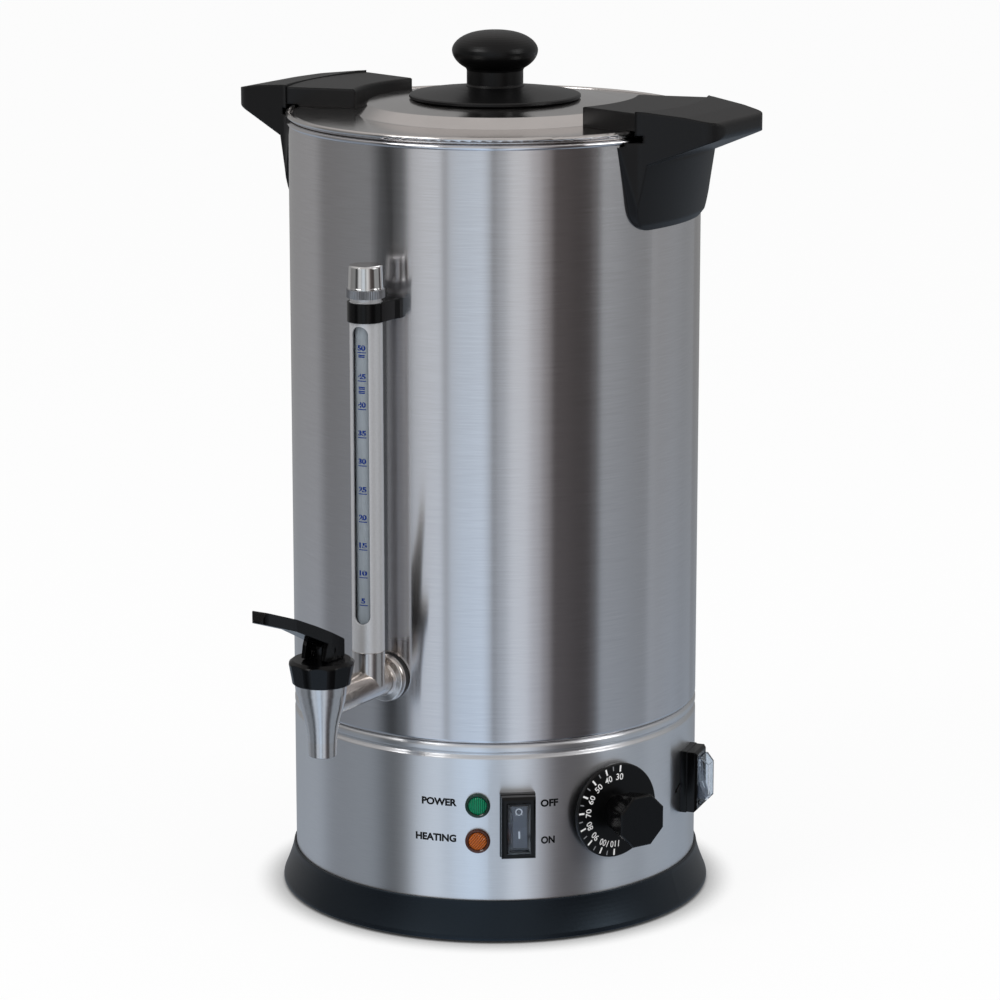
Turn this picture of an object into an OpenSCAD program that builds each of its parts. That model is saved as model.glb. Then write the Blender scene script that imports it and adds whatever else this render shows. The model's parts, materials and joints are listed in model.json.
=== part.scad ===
// Hot water urn with a press-down tap, a level gauge and a thermostat dial, in millimetres.
// The tank's axis is the Z axis, the table is z = 0, the tap points along -Y and the handles along X.

/* [Body] */
// Outside diameter of the tank and of the lower shell
body_d = 250; // [236:1:270]
// Thickness of the steel sheet
sheet_t = 0.8; // [0.6:0.1:1.1]
// Height of the seam between the lower shell and the tank
seam_z = 121.8; // [119:0.1:130]
// Height of the tank, from the seam to the top of its rim
tank_h = 358.3; // [340:0.1:390]
// Thickness of the wired bead round the tank's rim
rim_bead_d = 3.2; // [2.4:0.1:4]
// Depth of the rolled groove round the lower shell
groove_depth = 1.7; // [1:0.1:2.4]
// Height of the rolled groove
groove_h = 5.2; // [4:0.1:6]
// Distance from the seam down to the middle of the groove
groove_drop = 6.8; // [5.6:0.1:9]

/* [Base] */
// How far the rubber feet hold the base ring off the table
foot_proud = 1.5; // [1:0.1:3]
// Height of the black base ring
base_h = 23.1; // [20:0.1:28]
// How far the base ring flares out past the shell
base_flare = 8.2; // [5:0.1:14]
// Diameter of a rubber foot
foot_d = 22; // [16:1:26]
// Distance of the feet from the axis
foot_place_r = 96; // [85:1:98]

/* [Lid] */
// Rise of the lid from its flat border to the knob flange
lid_rise = 8.4; // [7.4:0.1:12]
// Thickness of the rolled edge of the lid
lid_edge_d = 3; // [2.4:0.1:3.4]
// Depth of the lid's skirt inside the tank
lid_skirt_h = 9; // [6:0.5:14]
// Diameter of the black flange under the knob
knob_flange_d = 104; // [90:1:120]
// Thickness of that flange at its edge
knob_flange_t = 2.6; // [2:0.1:4]
// Diameter of the knob's head
knob_d = 52; // [44:0.2:60]
// Diameter of the knob's neck
knob_neck_d = 34.2; // [26:0.1:38]
// Height of the knob's neck
knob_neck_h = 10.9; // [8:0.1:16]
// Height of the knob's head
knob_head_h = 22.4; // [18:0.1:28]

/* [Handles] */
// How far the grips reach from the axis past the body
grip_reach = 44; // [36:0.1:48]
// Half the width of a grip at its outer end
grip_half_w = 31; // [26:0.5:36]
// Half the width of a handle where it meets the lid's lug
grip_root_half_w = 44; // [40:0.5:48]
// Height of the wall plate below the tank's rim
plate_drop = 55; // [46:0.5:70]
// Half the width of the wall plate at the rim
plate_half_w = 51.6; // [49:0.1:56]
// Distance from the rim up to the top of the lugs
lug_rise = 15.2; // [13:0.1:18]
// Distance from the axis to the inner end of the lugs
lug_inner_r = 86; // [80:0.5:92]

/* [Tap] */
// Height of the tap's pipe
pipe_z = 159.2; // [150:0.1:175]
// Outside diameter of the pipe
pipe_d = 18.6; // [16:0.1:20]
// Bore of the pipe
pipe_bore = 9; // [7:0.5:10]
// Diameter of the pipe's flange on the wall
flange_d = 29.4; // [26:0.2:34]
// Distance from the tank's wall to the tap's axis
tap_reach = 70; // [62:0.5:80]
// Height of the outlet above the table
outlet_z = 128; // [124:0.1:134]
// Bore of the outlet
outlet_bore = 11; // [9:0.5:12]
// Diameter of the valve's seat hole
seat_bore = 10; // [8:0.5:11]
// Diameter of the black bonnet at its widest
bonnet_d = 38.8; // [38:0.1:42]
// Height of the bonnet
bonnet_h = 14.4; // [13:0.1:18]
// Number of flats round the bonnet
bonnet_flats = 8; // [6:1:12]
// Diameter of the tap's stem
stem_d = 8; // [7:0.1:9]
// Diameter of the lever's pin
lever_pin_d = 3.2; // [2.4:0.1:4]
// How far the stem rises for each radian that the lever turns, which is the cam's base radius
cam_r = 5; // [4:0.1:5.5]
// Angle through which the lever is pressed
lever_turn = 30; // [20:1:32]
// Width of the lever's head
lever_head_w = 18; // [16:0.5:20]
// Width of the lever's bar
lever_bar_w = 10.4; // [8:0.1:13]

/* [Level gauge] */
// Distance from the tank's wall to the gauge's axis
gauge_reach = 20; // [18:0.5:24]
// Outside diameter of the gauge's metal shield
shield_d = 19.3; // [18:0.1:21]
// Length of the shield
shield_h = 211.5; // [170:0.1:250]
// Width of the window in the shield
window_w = 10; // [8:0.5:12]
// Outside diameter of the clear tube
tube_d = 14; // [12:0.1:14.6]
// Height of the black bracket
bracket_h = 11.5; // [9:0.1:16]
// Height of the polished cap
cap_h = 14; // [12:0.1:20]

/* [Controls] */
// Angle from the tap round to the two lamps
lamp_angle = 26.3; // [22:0.1:28]
// Diameter of a lamp's bezel
lamp_d = 15.1; // [13:0.1:16]
// Height of the power lamp
power_lamp_z = 84.1; // [80:0.1:96]
// Height of the heating lamp
heating_lamp_z = 62; // [50:0.1:66]
// Angle from the tap round to the front switch
front_switch_angle = 37.1; // [36:0.1:39]
// Angle from the tap round to the side switch
side_switch_angle = 101.5; // [98:0.1:112]
// Height of the front switch
front_switch_z = 72.6; // [68:0.1:80]
// Height of the side switch
side_switch_z = 76.4; // [68:0.1:80]
// Width of a switch frame
switch_w = 21.2; // [19:0.1:23]
// Height of a switch frame
switch_h = 39; // [38:0.1:44]
// How far a switch frame stands off the shell
switch_proud = 10; // [9:0.1:12]
// How far the clear boot stands off the frame
boot_proud = 6.4; // [6:0.1:10]
// Angle through which a rocker tips
rocker_turn = 24; // [16:1:26]
// Angle from the tap round to the dial
dial_angle = 65.3; // [62:0.1:72]
// Height of the dial's centre
dial_z = 75.6; // [68:0.1:80]
// Diameter of the dial's skirt
dial_d = 58.2; // [50:0.2:60]
// Length of the dial's knob
dial_knob_h = 26.5; // [20:0.5:28]
// Diameter of the thermostat's shaft
shaft_d = 6; // [5:0.5:7]

/* [Hidden] */
$fn = 72;

// Clearances: between bodies that move apart, a shaft in its hole, and a hole round a fixed screw
gap = 0.3;
running = 0.05;
screw_gap = 0.15;
// A cut runs this far past the face that it opens
past = 1;

body_r = body_d / 2;
inner_r = body_r - sheet_t;
rim_z = seam_z + tank_h;

// Base
ring_top_z = foot_proud + base_h;
ledge_t = 2.5;
plate_z = 8.7;
ledge_z = plate_z + sheet_t;
shell_z = ledge_z + ledge_t;
ring_socket_r = body_r + gap;
ring_r = body_r + base_flare;
ring_wall = 2.8;
ledge_r = body_r - 13;
base_boss_r = body_r - 10;
base_boss_d = 8;
base_screw_d = 4;
rod_place_r = 84;
heat_plate_r = 72;
heat_shield_r = 96;
rod_d = 6;
rod_angles = [30, 150, 270];
foot_angles = [45, 135, 225, 315];
boss_angles = [0, 90, 180, 270];

// Tank
floor_t = 1.2;
floor_z = seam_z + floor_t;
corner_r = 2.4;
bead_r = rim_bead_d / 2;
rim_bead_r = body_r - sheet_t / 2;
shank_d = 14;
handle_screw_d = 5;
handle_screw_z = rim_z - 22;
handle_screw_angle = 10;
bracket_screw_d = 3;
bracket_screw_x = 8;

// Lid
lid_gap = 1.5;
lid_edge_r = lid_edge_d / 2;
lid_edge_z = rim_z + lid_gap + lid_edge_r;
lid_top_z = lid_edge_z + 0.6;
lid_skirt_r = rim_bead_r - bead_r - 0.5;
lid_seat_z = rim_z + gap;
lid_t = 1.2;
lid_border_r = lug_inner_r - 1.5;
lid_step = 6;
lid_centre_z = lid_top_z + lid_rise;
knob_flange_r = knob_flange_d / 2;
knob_neck_z = lid_centre_z + knob_flange_t + 4.6;
knob_head_z = knob_neck_z + knob_neck_h;
lug_top_z = rim_z + lug_rise;
lug_outer_r = body_r + 4.7;
lug_seat_z = lid_edge_z + lid_edge_r + 0.3;
lug_screw_d = 4;
lug_screw_r = 104;
lug_screw_y = 20;
knob_bolt_d = 5;

// Handles
grip_x = body_r + grip_reach;
grip_inner_r = lug_outer_r + gap + 0.1;
plate_z0 = rim_z - plate_drop;
plate_taper = 10.4;
plate_root_t = 10.2;
plate_toe_t = 4.2;
kerf_depth = 3;
kerf_z = rim_z - 2.1;
kerf_h = 4.4;

// Tap
tap_y = -(body_r + tap_reach);
bonnet_z = pipe_z + 12.9;
bonnet_top = bonnet_z + bonnet_h;
seat_z = pipe_z - pipe_bore / 2 - 1.2;
chamber_r = 11.4;
neck_r = 13.5;
neck_top = bonnet_top - 7.6;
cup_flange_t = 1.6;
stem_r = stem_d / 2;
pin_h = 6;
pin_z = bonnet_top + pin_h;
cam_gap = 0.25;
fork_w = 12;
flange_t = 4.2;
stub_r = 17.5;
spigot_d = 13;
seal_t = 2.2;
shank_end = inner_r - 15;
nut_af = 21;

// Level gauge
gauge_y = -(body_r + gauge_reach);
socket_d = shield_d + 0.5;
socket_top = pipe_z + 21.2;
shield_top = socket_top + shield_h;
shield_wall = 1.15;
window_z0 = socket_top + 17.3;
window_z1 = shield_top - 16.1;
window_turn = 8.5;
shield_neck_h = 2.6;
tube_r = tube_d / 2;
tube_wall = 2;
tube_z0 = socket_top - 9;
bracket_top = shield_top - shield_neck_h;
collar_h = 4.9;
collar_d = 22.5;
collar_teeth = 48;
cap_z = shield_top + collar_h;

// Controls
frame_face = body_r + switch_proud;
frame_wall = 3.5;
window_x = switch_w - 2 * frame_wall;
window_y = switch_h - 2 * 4.1;
boot_gap = 0.2;
boot_face = frame_face + boot_proud;
boot_wall = 0.9;
boot_chamfer = 4.4;
pivot_r = body_r + 7;
rocker_w = 9.6;
rocker_l = 25;
rocker_rise = 4.4;
switch_body_w = 13;
switch_body_h = 29;
trunnion_d = 2.4;
skirt_r0 = body_r + 2.4;
skirt_t = 2.6;
knob_r0 = skirt_r0 + skirt_t;
inlet_z = 60;
inlet_w = 50;
inlet_h = 28;
inlet_proud = 5;
inlet_socket_w = 25;
inlet_socket_h = 19;
inlet_depth = 16;
inlet_screw_x = 20;
dial_bush_d = 10;
element_r = 55;
capillary_r = 84;

steel = [0.72, 0.72, 0.72];
polished = [0.82, 0.82, 0.83];
black = [0.07, 0.07, 0.08];
clear = [0.8, 0.88, 0.95, 0.5];
rubber = [0.16, 0.16, 0.17];
grey = [0.5, 0.5, 0.52];

// Points of an arc from angle a to angle b round a centre
function arc(cx, cy, r, a, b, n = 8) =
    [for (i = [0:n]) [cx + r * cos(a + (b - a) * i / n), cy + r * sin(a + (b - a) * i / n)]];

// Outline of points [x, y, corner radius] with each corner rounded by an arc
function unit(v) = v / norm(v);
function corner(p, q, s, n) =
    let (
        q2 = [q[0], q[1]],
        u = unit([p[0], p[1]] - q2),
        v = unit([s[0], s[1]] - q2),
        half = acos(u * v) / 2,
        d = q[2] / tan(half),
        c = q2 + unit(u + v) * q[2] / sin(half),
        p0 = q2 + u * d - c,
        p1 = q2 + v * d - c,
        a0 = atan2(p0[1], p0[0]),
        turn = atan2(p0[0] * p1[1] - p0[1] * p1[0], p0 * p1)
    )
    q[2] == 0 ? [q2] : arc(c[0], c[1], q[2], a0, a0 + turn, n);
function rounded(pts, n = 6) =
    [for (i = [0:len(pts) - 1])
        each corner(pts[(i + len(pts) - 1) % len(pts)], pts[i], pts[(i + 1) % len(pts)], n)];

// A path of points with its inner corners rounded to radius r, and the same list turned round
function rounded_path(pts, r) =
    [for (i = [0:len(pts) - 1]) each (i == 0 || i == len(pts) - 1) ? [pts[i]] :
        corner(pts[i - 1], [pts[i][0], pts[i][1], r], pts[i + 1], 4)];
function reversed(pts) = [for (i = [len(pts) - 1:-1:0]) pts[i]];

// Places children on the wall: local x runs round the body, y is up and z is the distance from the axis
module on_wall(angle, z) {
    rotate([0, 0, angle]) translate([0, 0, z]) rotate([90, 0, 0]) children();
}

// Turns an outline of [forward, up] points into a plate across the tap, centred on its axis
module across_tap(width) {
    rotate([90, 0, -90]) linear_extrude(height = width, center = true) children();
}

module ring_of(angles, r) {
    for (a = angles) rotate([0, 0, a]) translate([r, 0, 0]) children();
}

module tube_between(r_out, r_in, z0, z1) {
    difference() {
        translate([0, 0, z0]) cylinder(r = r_out, h = z1 - z0);
        translate([0, 0, z0 - past]) cylinder(r = r_in, h = z1 - z0 + 2 * past);
    }
}

// ---------------------------------------------------------------- base

// Flared skirt with an inner ledge that carries the shell, and bosses for the plate's screws
module base_ring() {
    top_r = body_r + 1.6;
    side_h = base_h - 3.5;
    flare = [for (i = [0:8]) [
        top_r + (ring_r - 0.3 - top_r) * pow(i / 8, 1.35), ring_top_z - 0.5 - side_h * i / 8]];
    color(black) difference() {
        union() {
            rotate_extrude() polygon(concat(
                [[ring_socket_r, ring_top_z], [top_r - 0.5, ring_top_z]],
                flare,
                [[ring_r, foot_proud + 1.6], [ring_r, foot_proud + 0.4], [ring_r - 0.4, foot_proud],
                 [ring_r - ring_wall, foot_proud], [body_r + 3, ledge_z], [ledge_r, ledge_z],
                 [ledge_r, shell_z], [ring_socket_r, shell_z]]
            ));
            ring_of(boss_angles, base_boss_r)
                translate([0, 0, ledge_z + 1]) cylinder(d = base_boss_d, h = 10);
        }
        ring_of(boss_angles, base_boss_r)
            translate([0, 0, ledge_z - past]) cylinder(d = base_screw_d + 2 * screw_gap, h = 10);
    }
}

// Steel plate that closes the base, with vent slots and holes for the rods, feet and screws
module base_plate() {
    color(steel) translate([0, 0, plate_z]) difference() {
        cylinder(r = base_boss_r + 5, h = sheet_t);
        for (a = [15:30:345], r = [46, 60])
            rotate([0, 0, a]) translate([r, 0, -past]) cube([3, 16, 2 * past + sheet_t]);
        ring_of(rod_angles, rod_place_r)
            translate([0, 0, -past]) cylinder(d = rod_d + 2 * screw_gap, h = 2 * past + sheet_t);
        ring_of(boss_angles, base_boss_r)
            translate([0, 0, -past]) cylinder(d = base_screw_d + 2 * screw_gap, h = 2 * past + sheet_t);
        ring_of(foot_angles, foot_place_r)
            translate([0, 0, -past]) cylinder(d = base_screw_d + 2 * screw_gap, h = 2 * past + sheet_t);
    }
}

// Rubber foot with a spigot through the plate and a snap head above it
module feet() {
    color(rubber) ring_of(foot_angles, foot_place_r) rotate_extrude() polygon([
        [0, 0], [foot_d / 2 - 1.5, 0], [foot_d / 2 - 1, 0.5], [foot_d / 2, plate_z - 1],
        [foot_d / 2, plate_z], [base_screw_d / 2, plate_z], [base_screw_d / 2, ledge_z],
        [base_screw_d / 2 + 2, ledge_z], [base_screw_d / 2, ledge_z + 4], [0, ledge_z + 4]
    ]);
}

// Pan-head screws that hold the plate to the ring
module base_screws() {
    color(polished) ring_of(boss_angles, base_boss_r) union() {
        translate([0, 0, plate_z - 2.4])
            cylinder(d1 = base_screw_d * 1.5, d2 = base_screw_d * 1.9, h = 2.4);
        translate([0, 0, plate_z - past]) cylinder(d = base_screw_d, h = past + sheet_t + 8);
    }
}

// Lower housing: sheet steel with a rolled groove, and a turned-in flange that carries the tank
module lower_shell() {
    g0 = seam_z - groove_drop - groove_h / 2;
    g1 = g0 + groove_h;
    outline = concat(
        [[body_r, shell_z]],
        [for (i = [0:12]) [
            body_r - groove_depth * (1 - cos(360 * i / 12)) / 2,
            g0 + (g1 - g0) * i / 12]],
        arc(body_r - corner_r, seam_z - corner_r, corner_r, 0, 90, 6),
        [[ledge_r, seam_z], [ledge_r, seam_z - sheet_t]],
        arc(body_r - corner_r, seam_z - corner_r, corner_r - sheet_t, 90, 0, 6),
        [for (i = [0:12]) [
            inner_r - groove_depth * (1 - cos(360 * i / 12)) / 2,
            g1 - (g1 - g0) * i / 12]],
        [[inner_r, shell_z]]
    );
    color(steel) difference() {
        rotate_extrude($fn = 180) polygon(outline);
        for (z = [power_lamp_z, heating_lamp_z])
            on_wall(lamp_angle, z) translate([0, 0, body_r - 9]) cylinder(d = lamp_d - 2.4, h = 18);
        for (place = [[front_switch_angle, front_switch_z], [side_switch_angle, side_switch_z]])
            on_wall(place[0], place[1])
                translate([-(switch_body_w + 1) / 2, -(switch_body_h + 1) / 2, body_r - 9])
                    cube([switch_body_w + 1, switch_body_h + 1, 18]);
        on_wall(dial_angle, dial_z)
            translate([0, 0, body_r - 9]) cylinder(d = dial_bush_d + 2 * screw_gap, h = 18);
        on_wall(180, inlet_z) {
            translate([-(inlet_socket_w + 5) / 2, -(inlet_socket_h + 5) / 2, body_r - 12])
                cube([inlet_socket_w + 5, inlet_socket_h + 5, 24]);
            for (x = [-inlet_screw_x, inlet_screw_x])
                translate([x, 0, body_r - 12]) cylinder(d = 3 + 2 * screw_gap, h = 24);
        }
    }
}

// Rods from the tank's floor down through the base plate, which clamp the housing together
module tie_rods() {
    color(polished) ring_of(rod_angles, rod_place_r)
        translate([0, 0, plate_z - 5.5]) cylinder(d = rod_d, h = seam_z - plate_z + 5.5);
}

module tie_nuts() {
    color(polished) ring_of(rod_angles, rod_place_r) difference() {
        translate([0, 0, plate_z - 4.8]) cylinder(d = rod_d * 1.9, h = 4.8, $fn = 6);
        translate([0, 0, plate_z - 4.8 - past]) cylinder(d = rod_d + 0.1, h = 4.8 + 2 * past);
    }
}

// Appliance inlet at the back: a flange curved to the shell, a socket and three flat pins
module power_inlet() {
    floor_r = body_r + inlet_proud - inlet_depth;
    color(black) on_wall(180, inlet_z) difference() {
        union() {
            difference() {
                translate([-inlet_w / 2, -inlet_h / 2, body_r - 6])
                    linear_extrude(height = inlet_proud + 6) polygon(rounded([
                        [0, 0, 5], [inlet_w, 0, 5], [inlet_w, inlet_h, 5], [0, inlet_h, 5]]));
                translate([0, inlet_h, 0]) rotate([90, 0, 0])
                    cylinder(r = body_r, h = 2 * inlet_h, $fn = 180);
            }
            translate([-(inlet_socket_w + 4) / 2, -(inlet_socket_h + 4) / 2, floor_r - 3])
                cube([inlet_socket_w + 4, inlet_socket_h + 4, inlet_depth + 2]);
            for (x = [-7, 0, 7])
                translate([x - 1, x == 0 ? 3 : -1, floor_r - 12]) cube([2, 4, 12]);
        }
        difference() {
            translate([-inlet_socket_w / 2, -inlet_socket_h / 2, floor_r])
                linear_extrude(height = inlet_depth + past) polygon([
                    [0, 0], [inlet_socket_w, 0], [inlet_socket_w, inlet_socket_h - 4],
                    [inlet_socket_w - 4, inlet_socket_h], [4, inlet_socket_h], [0, inlet_socket_h - 4]]);
            for (x = [-7, 0, 7])
                translate([x - 1, x == 0 ? 3 : -1, floor_r - 1]) cube([2, 4, inlet_depth - 3]);
        }
        for (x = [-inlet_screw_x, inlet_screw_x])
            translate([x, 0, 0]) cylinder(d = 3 + 2 * screw_gap, h = body_r + inlet_proud + past);
    }
}

module inlet_screws() {
    color(polished) on_wall(180, inlet_z) for (x = [-inlet_screw_x, inlet_screw_x])
        translate([x, 0, 0]) union() {
            translate([0, 0, body_r + inlet_proud]) cylinder(d1 = 6, d2 = 4.4, h = 1.8);
            translate([0, 0, body_r - 8]) cylinder(d = 3, h = 8 + inlet_proud + 0.5);
        }
}

// ---------------------------------------------------------------- tank and heating

// Deep steel tank: a round bottom corner at the seam, and a wired bead round the rim
module tank() {
    color(steel) difference() {
        union() {
            rotate_extrude($fn = 180) polygon(concat(
                [[0, seam_z]],
                arc(body_r - corner_r, seam_z + corner_r, corner_r, -90, 0, 6),
                [[body_r, rim_z - bead_r], [inner_r, rim_z - bead_r]],
                arc(body_r - corner_r, floor_z + corner_r - sheet_t, corner_r - sheet_t, 0, -90, 6),
                [[0, floor_z]]
            ));
            rotate_extrude($fn = 180) translate([rim_bead_r, rim_z - bead_r]) circle(r = bead_r, $fn = 32);
        }
        on_wall(0, pipe_z) cylinder(d = shank_d + 2 * screw_gap, h = body_r + 9);
        for (side = [-90, 90], a = [-handle_screw_angle, handle_screw_angle])
            on_wall(side + a, handle_screw_z)
                translate([0, 0, body_r - 9]) cylinder(d = handle_screw_d + 2 * screw_gap, h = 18);
        for (x = [-bracket_screw_x, bracket_screw_x])
            translate([x, -body_r + 9, bracket_top - bracket_h / 2])
                rotate([90, 0, 0]) cylinder(d = bracket_screw_d + 2 * screw_gap, h = 18);
    }
}

// Aluminium spreader under the tank's floor, grooved for the element and for the thermostat's bulb
module heat_plate() {
    color(grey) difference() {
        translate([0, 0, seam_z - 4]) cylinder(r = heat_plate_r, h = 4);
        rotate_extrude() translate([element_r, seam_z - 5]) circle(r = 3.5);
        rotate([0, 0, dial_angle])
            translate([-3.2, -heat_plate_r - past, seam_z - 5.2]) cube([6.4, 44, 2.8]);
    }
}

// Sheathed element: one turn under the spreader, with its two cold ends turned down
module heating_element() {
    color(steel) rotate([0, 0, dial_angle]) {
        translate([0, 0, seam_z - 5]) rotate([0, 0, -75])
            rotate_extrude(angle = 330) translate([element_r, 0]) circle(r = 3.3);
        for (a = [-75, 255]) rotate([0, 0, a]) translate([element_r, 0, 0]) {
            translate([0, 0, seam_z - 32]) cylinder(r = 4, h = 27.9);
            translate([0, 0, seam_z - 40]) cylinder(r = 1.2, h = 9);
        }
    }
}

// Bright tray that turns the heat back up and keeps it off the wiring
module heat_shield() {
    z = seam_z - 20;
    color(polished) difference() {
        translate([0, 0, z]) cylinder(r = heat_shield_r, h = 6);
        translate([0, 0, z + sheet_t]) cylinder(r = heat_shield_r - sheet_t, h = 6);
        ring_of(rod_angles, rod_place_r)
            translate([0, 0, z - past]) cylinder(d = rod_d + 2 * screw_gap, h = 4);
        rotate([0, 0, dial_angle]) {
            for (a = [-75, 255])
                rotate([0, 0, a]) translate([element_r, 0, z - past]) cylinder(r = 5, h = 4);
            translate([-4, -capillary_r - 4, z - past]) cube([8, 8, 4]);
        }
        translate([0, 0, z - past]) cylinder(r = 12, h = 4);
    }
}

// Snap disc against the spreader, which cuts the element off when the tank runs dry
module boil_dry_cutout() {
    color(black) union() {
        translate([0, 0, seam_z - 12]) cylinder(d = 17, h = 8);
        translate([-12, -3, seam_z - 5.2]) cube([24, 6, 1.2]);
        for (x = [-5, 5]) translate([x - 0.4, -3, seam_z - 22]) cube([0.8, 6, 11]);
        translate([0, 0, seam_z - 14]) cylinder(d = 3, h = 3);
    }
}

// Capillary thermostat behind the dial, clamped to the shell by its threaded bush
module thermostat_body() {
    color(grey) on_wall(dial_angle, dial_z) difference() {
        union() {
            translate([-17, -15, body_r - 46]) cube([34, 30, 36]);
            translate([0, 0, body_r - 11]) cylinder(d = 20, h = 9.6);
            translate([0, 0, body_r - 11]) cylinder(d = dial_bush_d, h = 12.6);
            for (x = [-12, -3, 6]) translate([x, -4, body_r - 53]) cube([6, 0.8, 8]);
        }
        translate([0, 0, body_r - 24]) cylinder(d = shaft_d + 2 * running, h = 40);
    }
}

// Sensing bulb in the spreader's channel, and the thin tube that turns down to the thermostat
module thermostat_bulb() {
    bulb_z = seam_z - 4.4;
    bend_r = 4;
    start_r = capillary_r - bend_r;
    body_top = dial_z + 15;
    color(polished) rotate([0, 0, dial_angle]) translate([0, -start_r, bulb_z]) union() {
        translate([0, start_r - 32, 0]) rotate([90, 0, 0]) cylinder(r = 1.8, h = start_r - 38);
        translate([0, 8, 0]) rotate([90, 0, 0]) cylinder(r = 0.9, h = 8);
        translate([0, 0, -bend_r]) rotate([0, -90, 180])
            rotate_extrude(angle = 90) translate([bend_r, 0]) circle(r = 1.1);
        translate([0, -bend_r, body_top - bulb_z]) cylinder(r = 0.9, h = bulb_z - bend_r - body_top);
    }
}

// Flat nut that holds the thermostat's bush from outside, hidden by the skirt
module dial_nut() {
    color(polished) on_wall(dial_angle, dial_z) difference() {
        translate([0, 0, body_r - 0.1]) cylinder(d = 15, h = 1.3, $fn = 6);
        cylinder(d = dial_bush_d + 0.1, h = 2 * body_r);
        translate([0, 20, 0]) rotate([90, 0, 0]) cylinder(r = body_r, h = 40, $fn = 180);
    }
}

// Ceramic block on the base plate where the mains leads meet
module terminal_block() {
    color([0.85, 0.84, 0.8]) translate([0, 74, ledge_z]) difference() {
        translate([-24, -9, 0]) cube([48, 18, 14]);
        for (x = [-16, 0, 16]) {
            translate([x, 0, 6]) cylinder(d = 6, h = 12);
            translate([x, 12, 5]) rotate([90, 0, 0]) cylinder(d = 3.4, h = 24);
        }
    }
}

// ---------------------------------------------------------------- handles

// Moulded handle: grip, closed side gussets and wall plate in one piece. side is -1 left, 1 right
module handle(side) {
    top_z = lug_top_z + 0.9;
    under_z = rim_z - 14.4;
    plan = rounded([
        [body_r - 17, -plate_half_w - 6, 0], [body_r - 1, -grip_root_half_w + 0.4, 6],
        [grip_x, -grip_half_w, 13], [grip_x, grip_half_w, 13],
        [body_r - 1, grip_root_half_w - 0.4, 6], [body_r - 17, plate_half_w + 6, 0]], 8);
    front = rounded([
        [-grip_root_half_w - 0.5, top_z + 9, 0], [-plate_half_w, rim_z - 4, 4],
        [-plate_half_w + plate_taper, plate_z0, 14], [plate_half_w - plate_taper, plate_z0, 14],
        [plate_half_w, rim_z - 4, 4], [grip_root_half_w + 0.5, top_z + 9, 0]], 8);
    profile = rounded([
        [body_r - 17, top_z + 0.9, 0], [body_r + 1, top_z, 30], [grip_x - 19, top_z - 2.5, 60],
        [grip_x, top_z - 5.8, 4], [grip_x, under_z + 15.6, 4.4], [body_r + 4, under_z - 0.4, 2],
        [body_r - 17, under_z - 8, 0]], 8);
    color(black) rotate([0, 0, side < 0 ? 180 : 0]) difference() {
        intersection() {
            translate([0, 0, plate_z0 - past]) linear_extrude(height = plate_drop + 40) polygon(plan);
            rotate([90, 0, 90]) linear_extrude(height = grip_x + past) polygon(front);
            union() {
                rotate([90, 0, 0])
                    linear_extrude(height = 4 * plate_half_w, center = true) polygon(profile);
                rotate_extrude($fn = 180) polygon([
                    [body_r - 6, plate_z0 - past], [body_r + 0.9, plate_z0 - past],
                    [body_r + plate_toe_t, plate_z0 + 4], [body_r + plate_root_t, under_z],
                    [body_r + plate_root_t, under_z + 4], [body_r - 6, under_z + 4]]);
            }
        }
        cylinder(r = body_r, h = rim_z + 60, $fn = 180);
        translate([0, 0, rim_z - rim_bead_d - 1.2]) cylinder(r = body_r + 2.3, h = 40, $fn = 180);
        translate([0, 0, kerf_z]) cylinder(r = grip_inner_r, h = 40, $fn = 180);
        translate([0, 0, kerf_z]) cylinder(r = grip_inner_r + kerf_depth, h = kerf_h, $fn = 180);
        for (a = [90 - handle_screw_angle, 90 + handle_screw_angle])
            on_wall(a, handle_screw_z) cylinder(d = handle_screw_d + 2 * screw_gap, h = body_r + 6.4);
    }
}

module left_handle() { handle(-1); }

module right_handle() { handle(1); }

// Dome-head screws through the tank's wall into the handles
module handle_screws() {
    color(polished) for (side = [-90, 90], a = [-handle_screw_angle, handle_screw_angle])
        on_wall(side + a, handle_screw_z) union() {
            translate([0, 0, inner_r - 3])
                cylinder(d1 = handle_screw_d * 1.3, d2 = handle_screw_d * 1.9, h = 2.85);
            translate([0, 0, inner_r - 1]) cylinder(d = handle_screw_d, h = sheet_t + 6.4);
        }
}

// ---------------------------------------------------------------- tap

// Turned pipe: threaded shank, domed wall flange, pipe and the tee socket that carries the gauge
module tap_pipe() {
    flange_r0 = body_r + seal_t;
    color(steel) difference() {
        union() {
            on_wall(0, pipe_z) rotate_extrude() polygon(concat(
                [[0, shank_end], [shank_d / 2, shank_end], [shank_d / 2, flange_r0],
                 [flange_d / 2, flange_r0], [flange_d / 2, flange_r0 + 1.4]],
                arc(flange_d / 2 - 2.2, flange_r0 + 1.6, 2.2, 0, 60, 5),
                [[pipe_d / 2 + 1.2, flange_r0 + flange_t], [pipe_d / 2, flange_r0 + flange_t + 1.2],
                 [pipe_d / 2, -tap_y - stub_r], [spigot_d / 2, -tap_y - stub_r],
                 [spigot_d / 2, -tap_y - chamber_r - 0.8], [0, -tap_y - chamber_r - 0.8]]
            ));
            translate([0, gauge_y, pipe_z]) cylinder(d = socket_d, h = socket_top - pipe_z);
        }
        on_wall(0, pipe_z) translate([0, 0, shank_end - past]) cylinder(d = pipe_bore, h = 2 * body_r);
        translate([0, gauge_y, pipe_z]) cylinder(d = 7, h = 40);
        translate([0, gauge_y, tube_z0]) cylinder(r = socket_d / 2 - 1.2, h = 40);
    }
}

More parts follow.
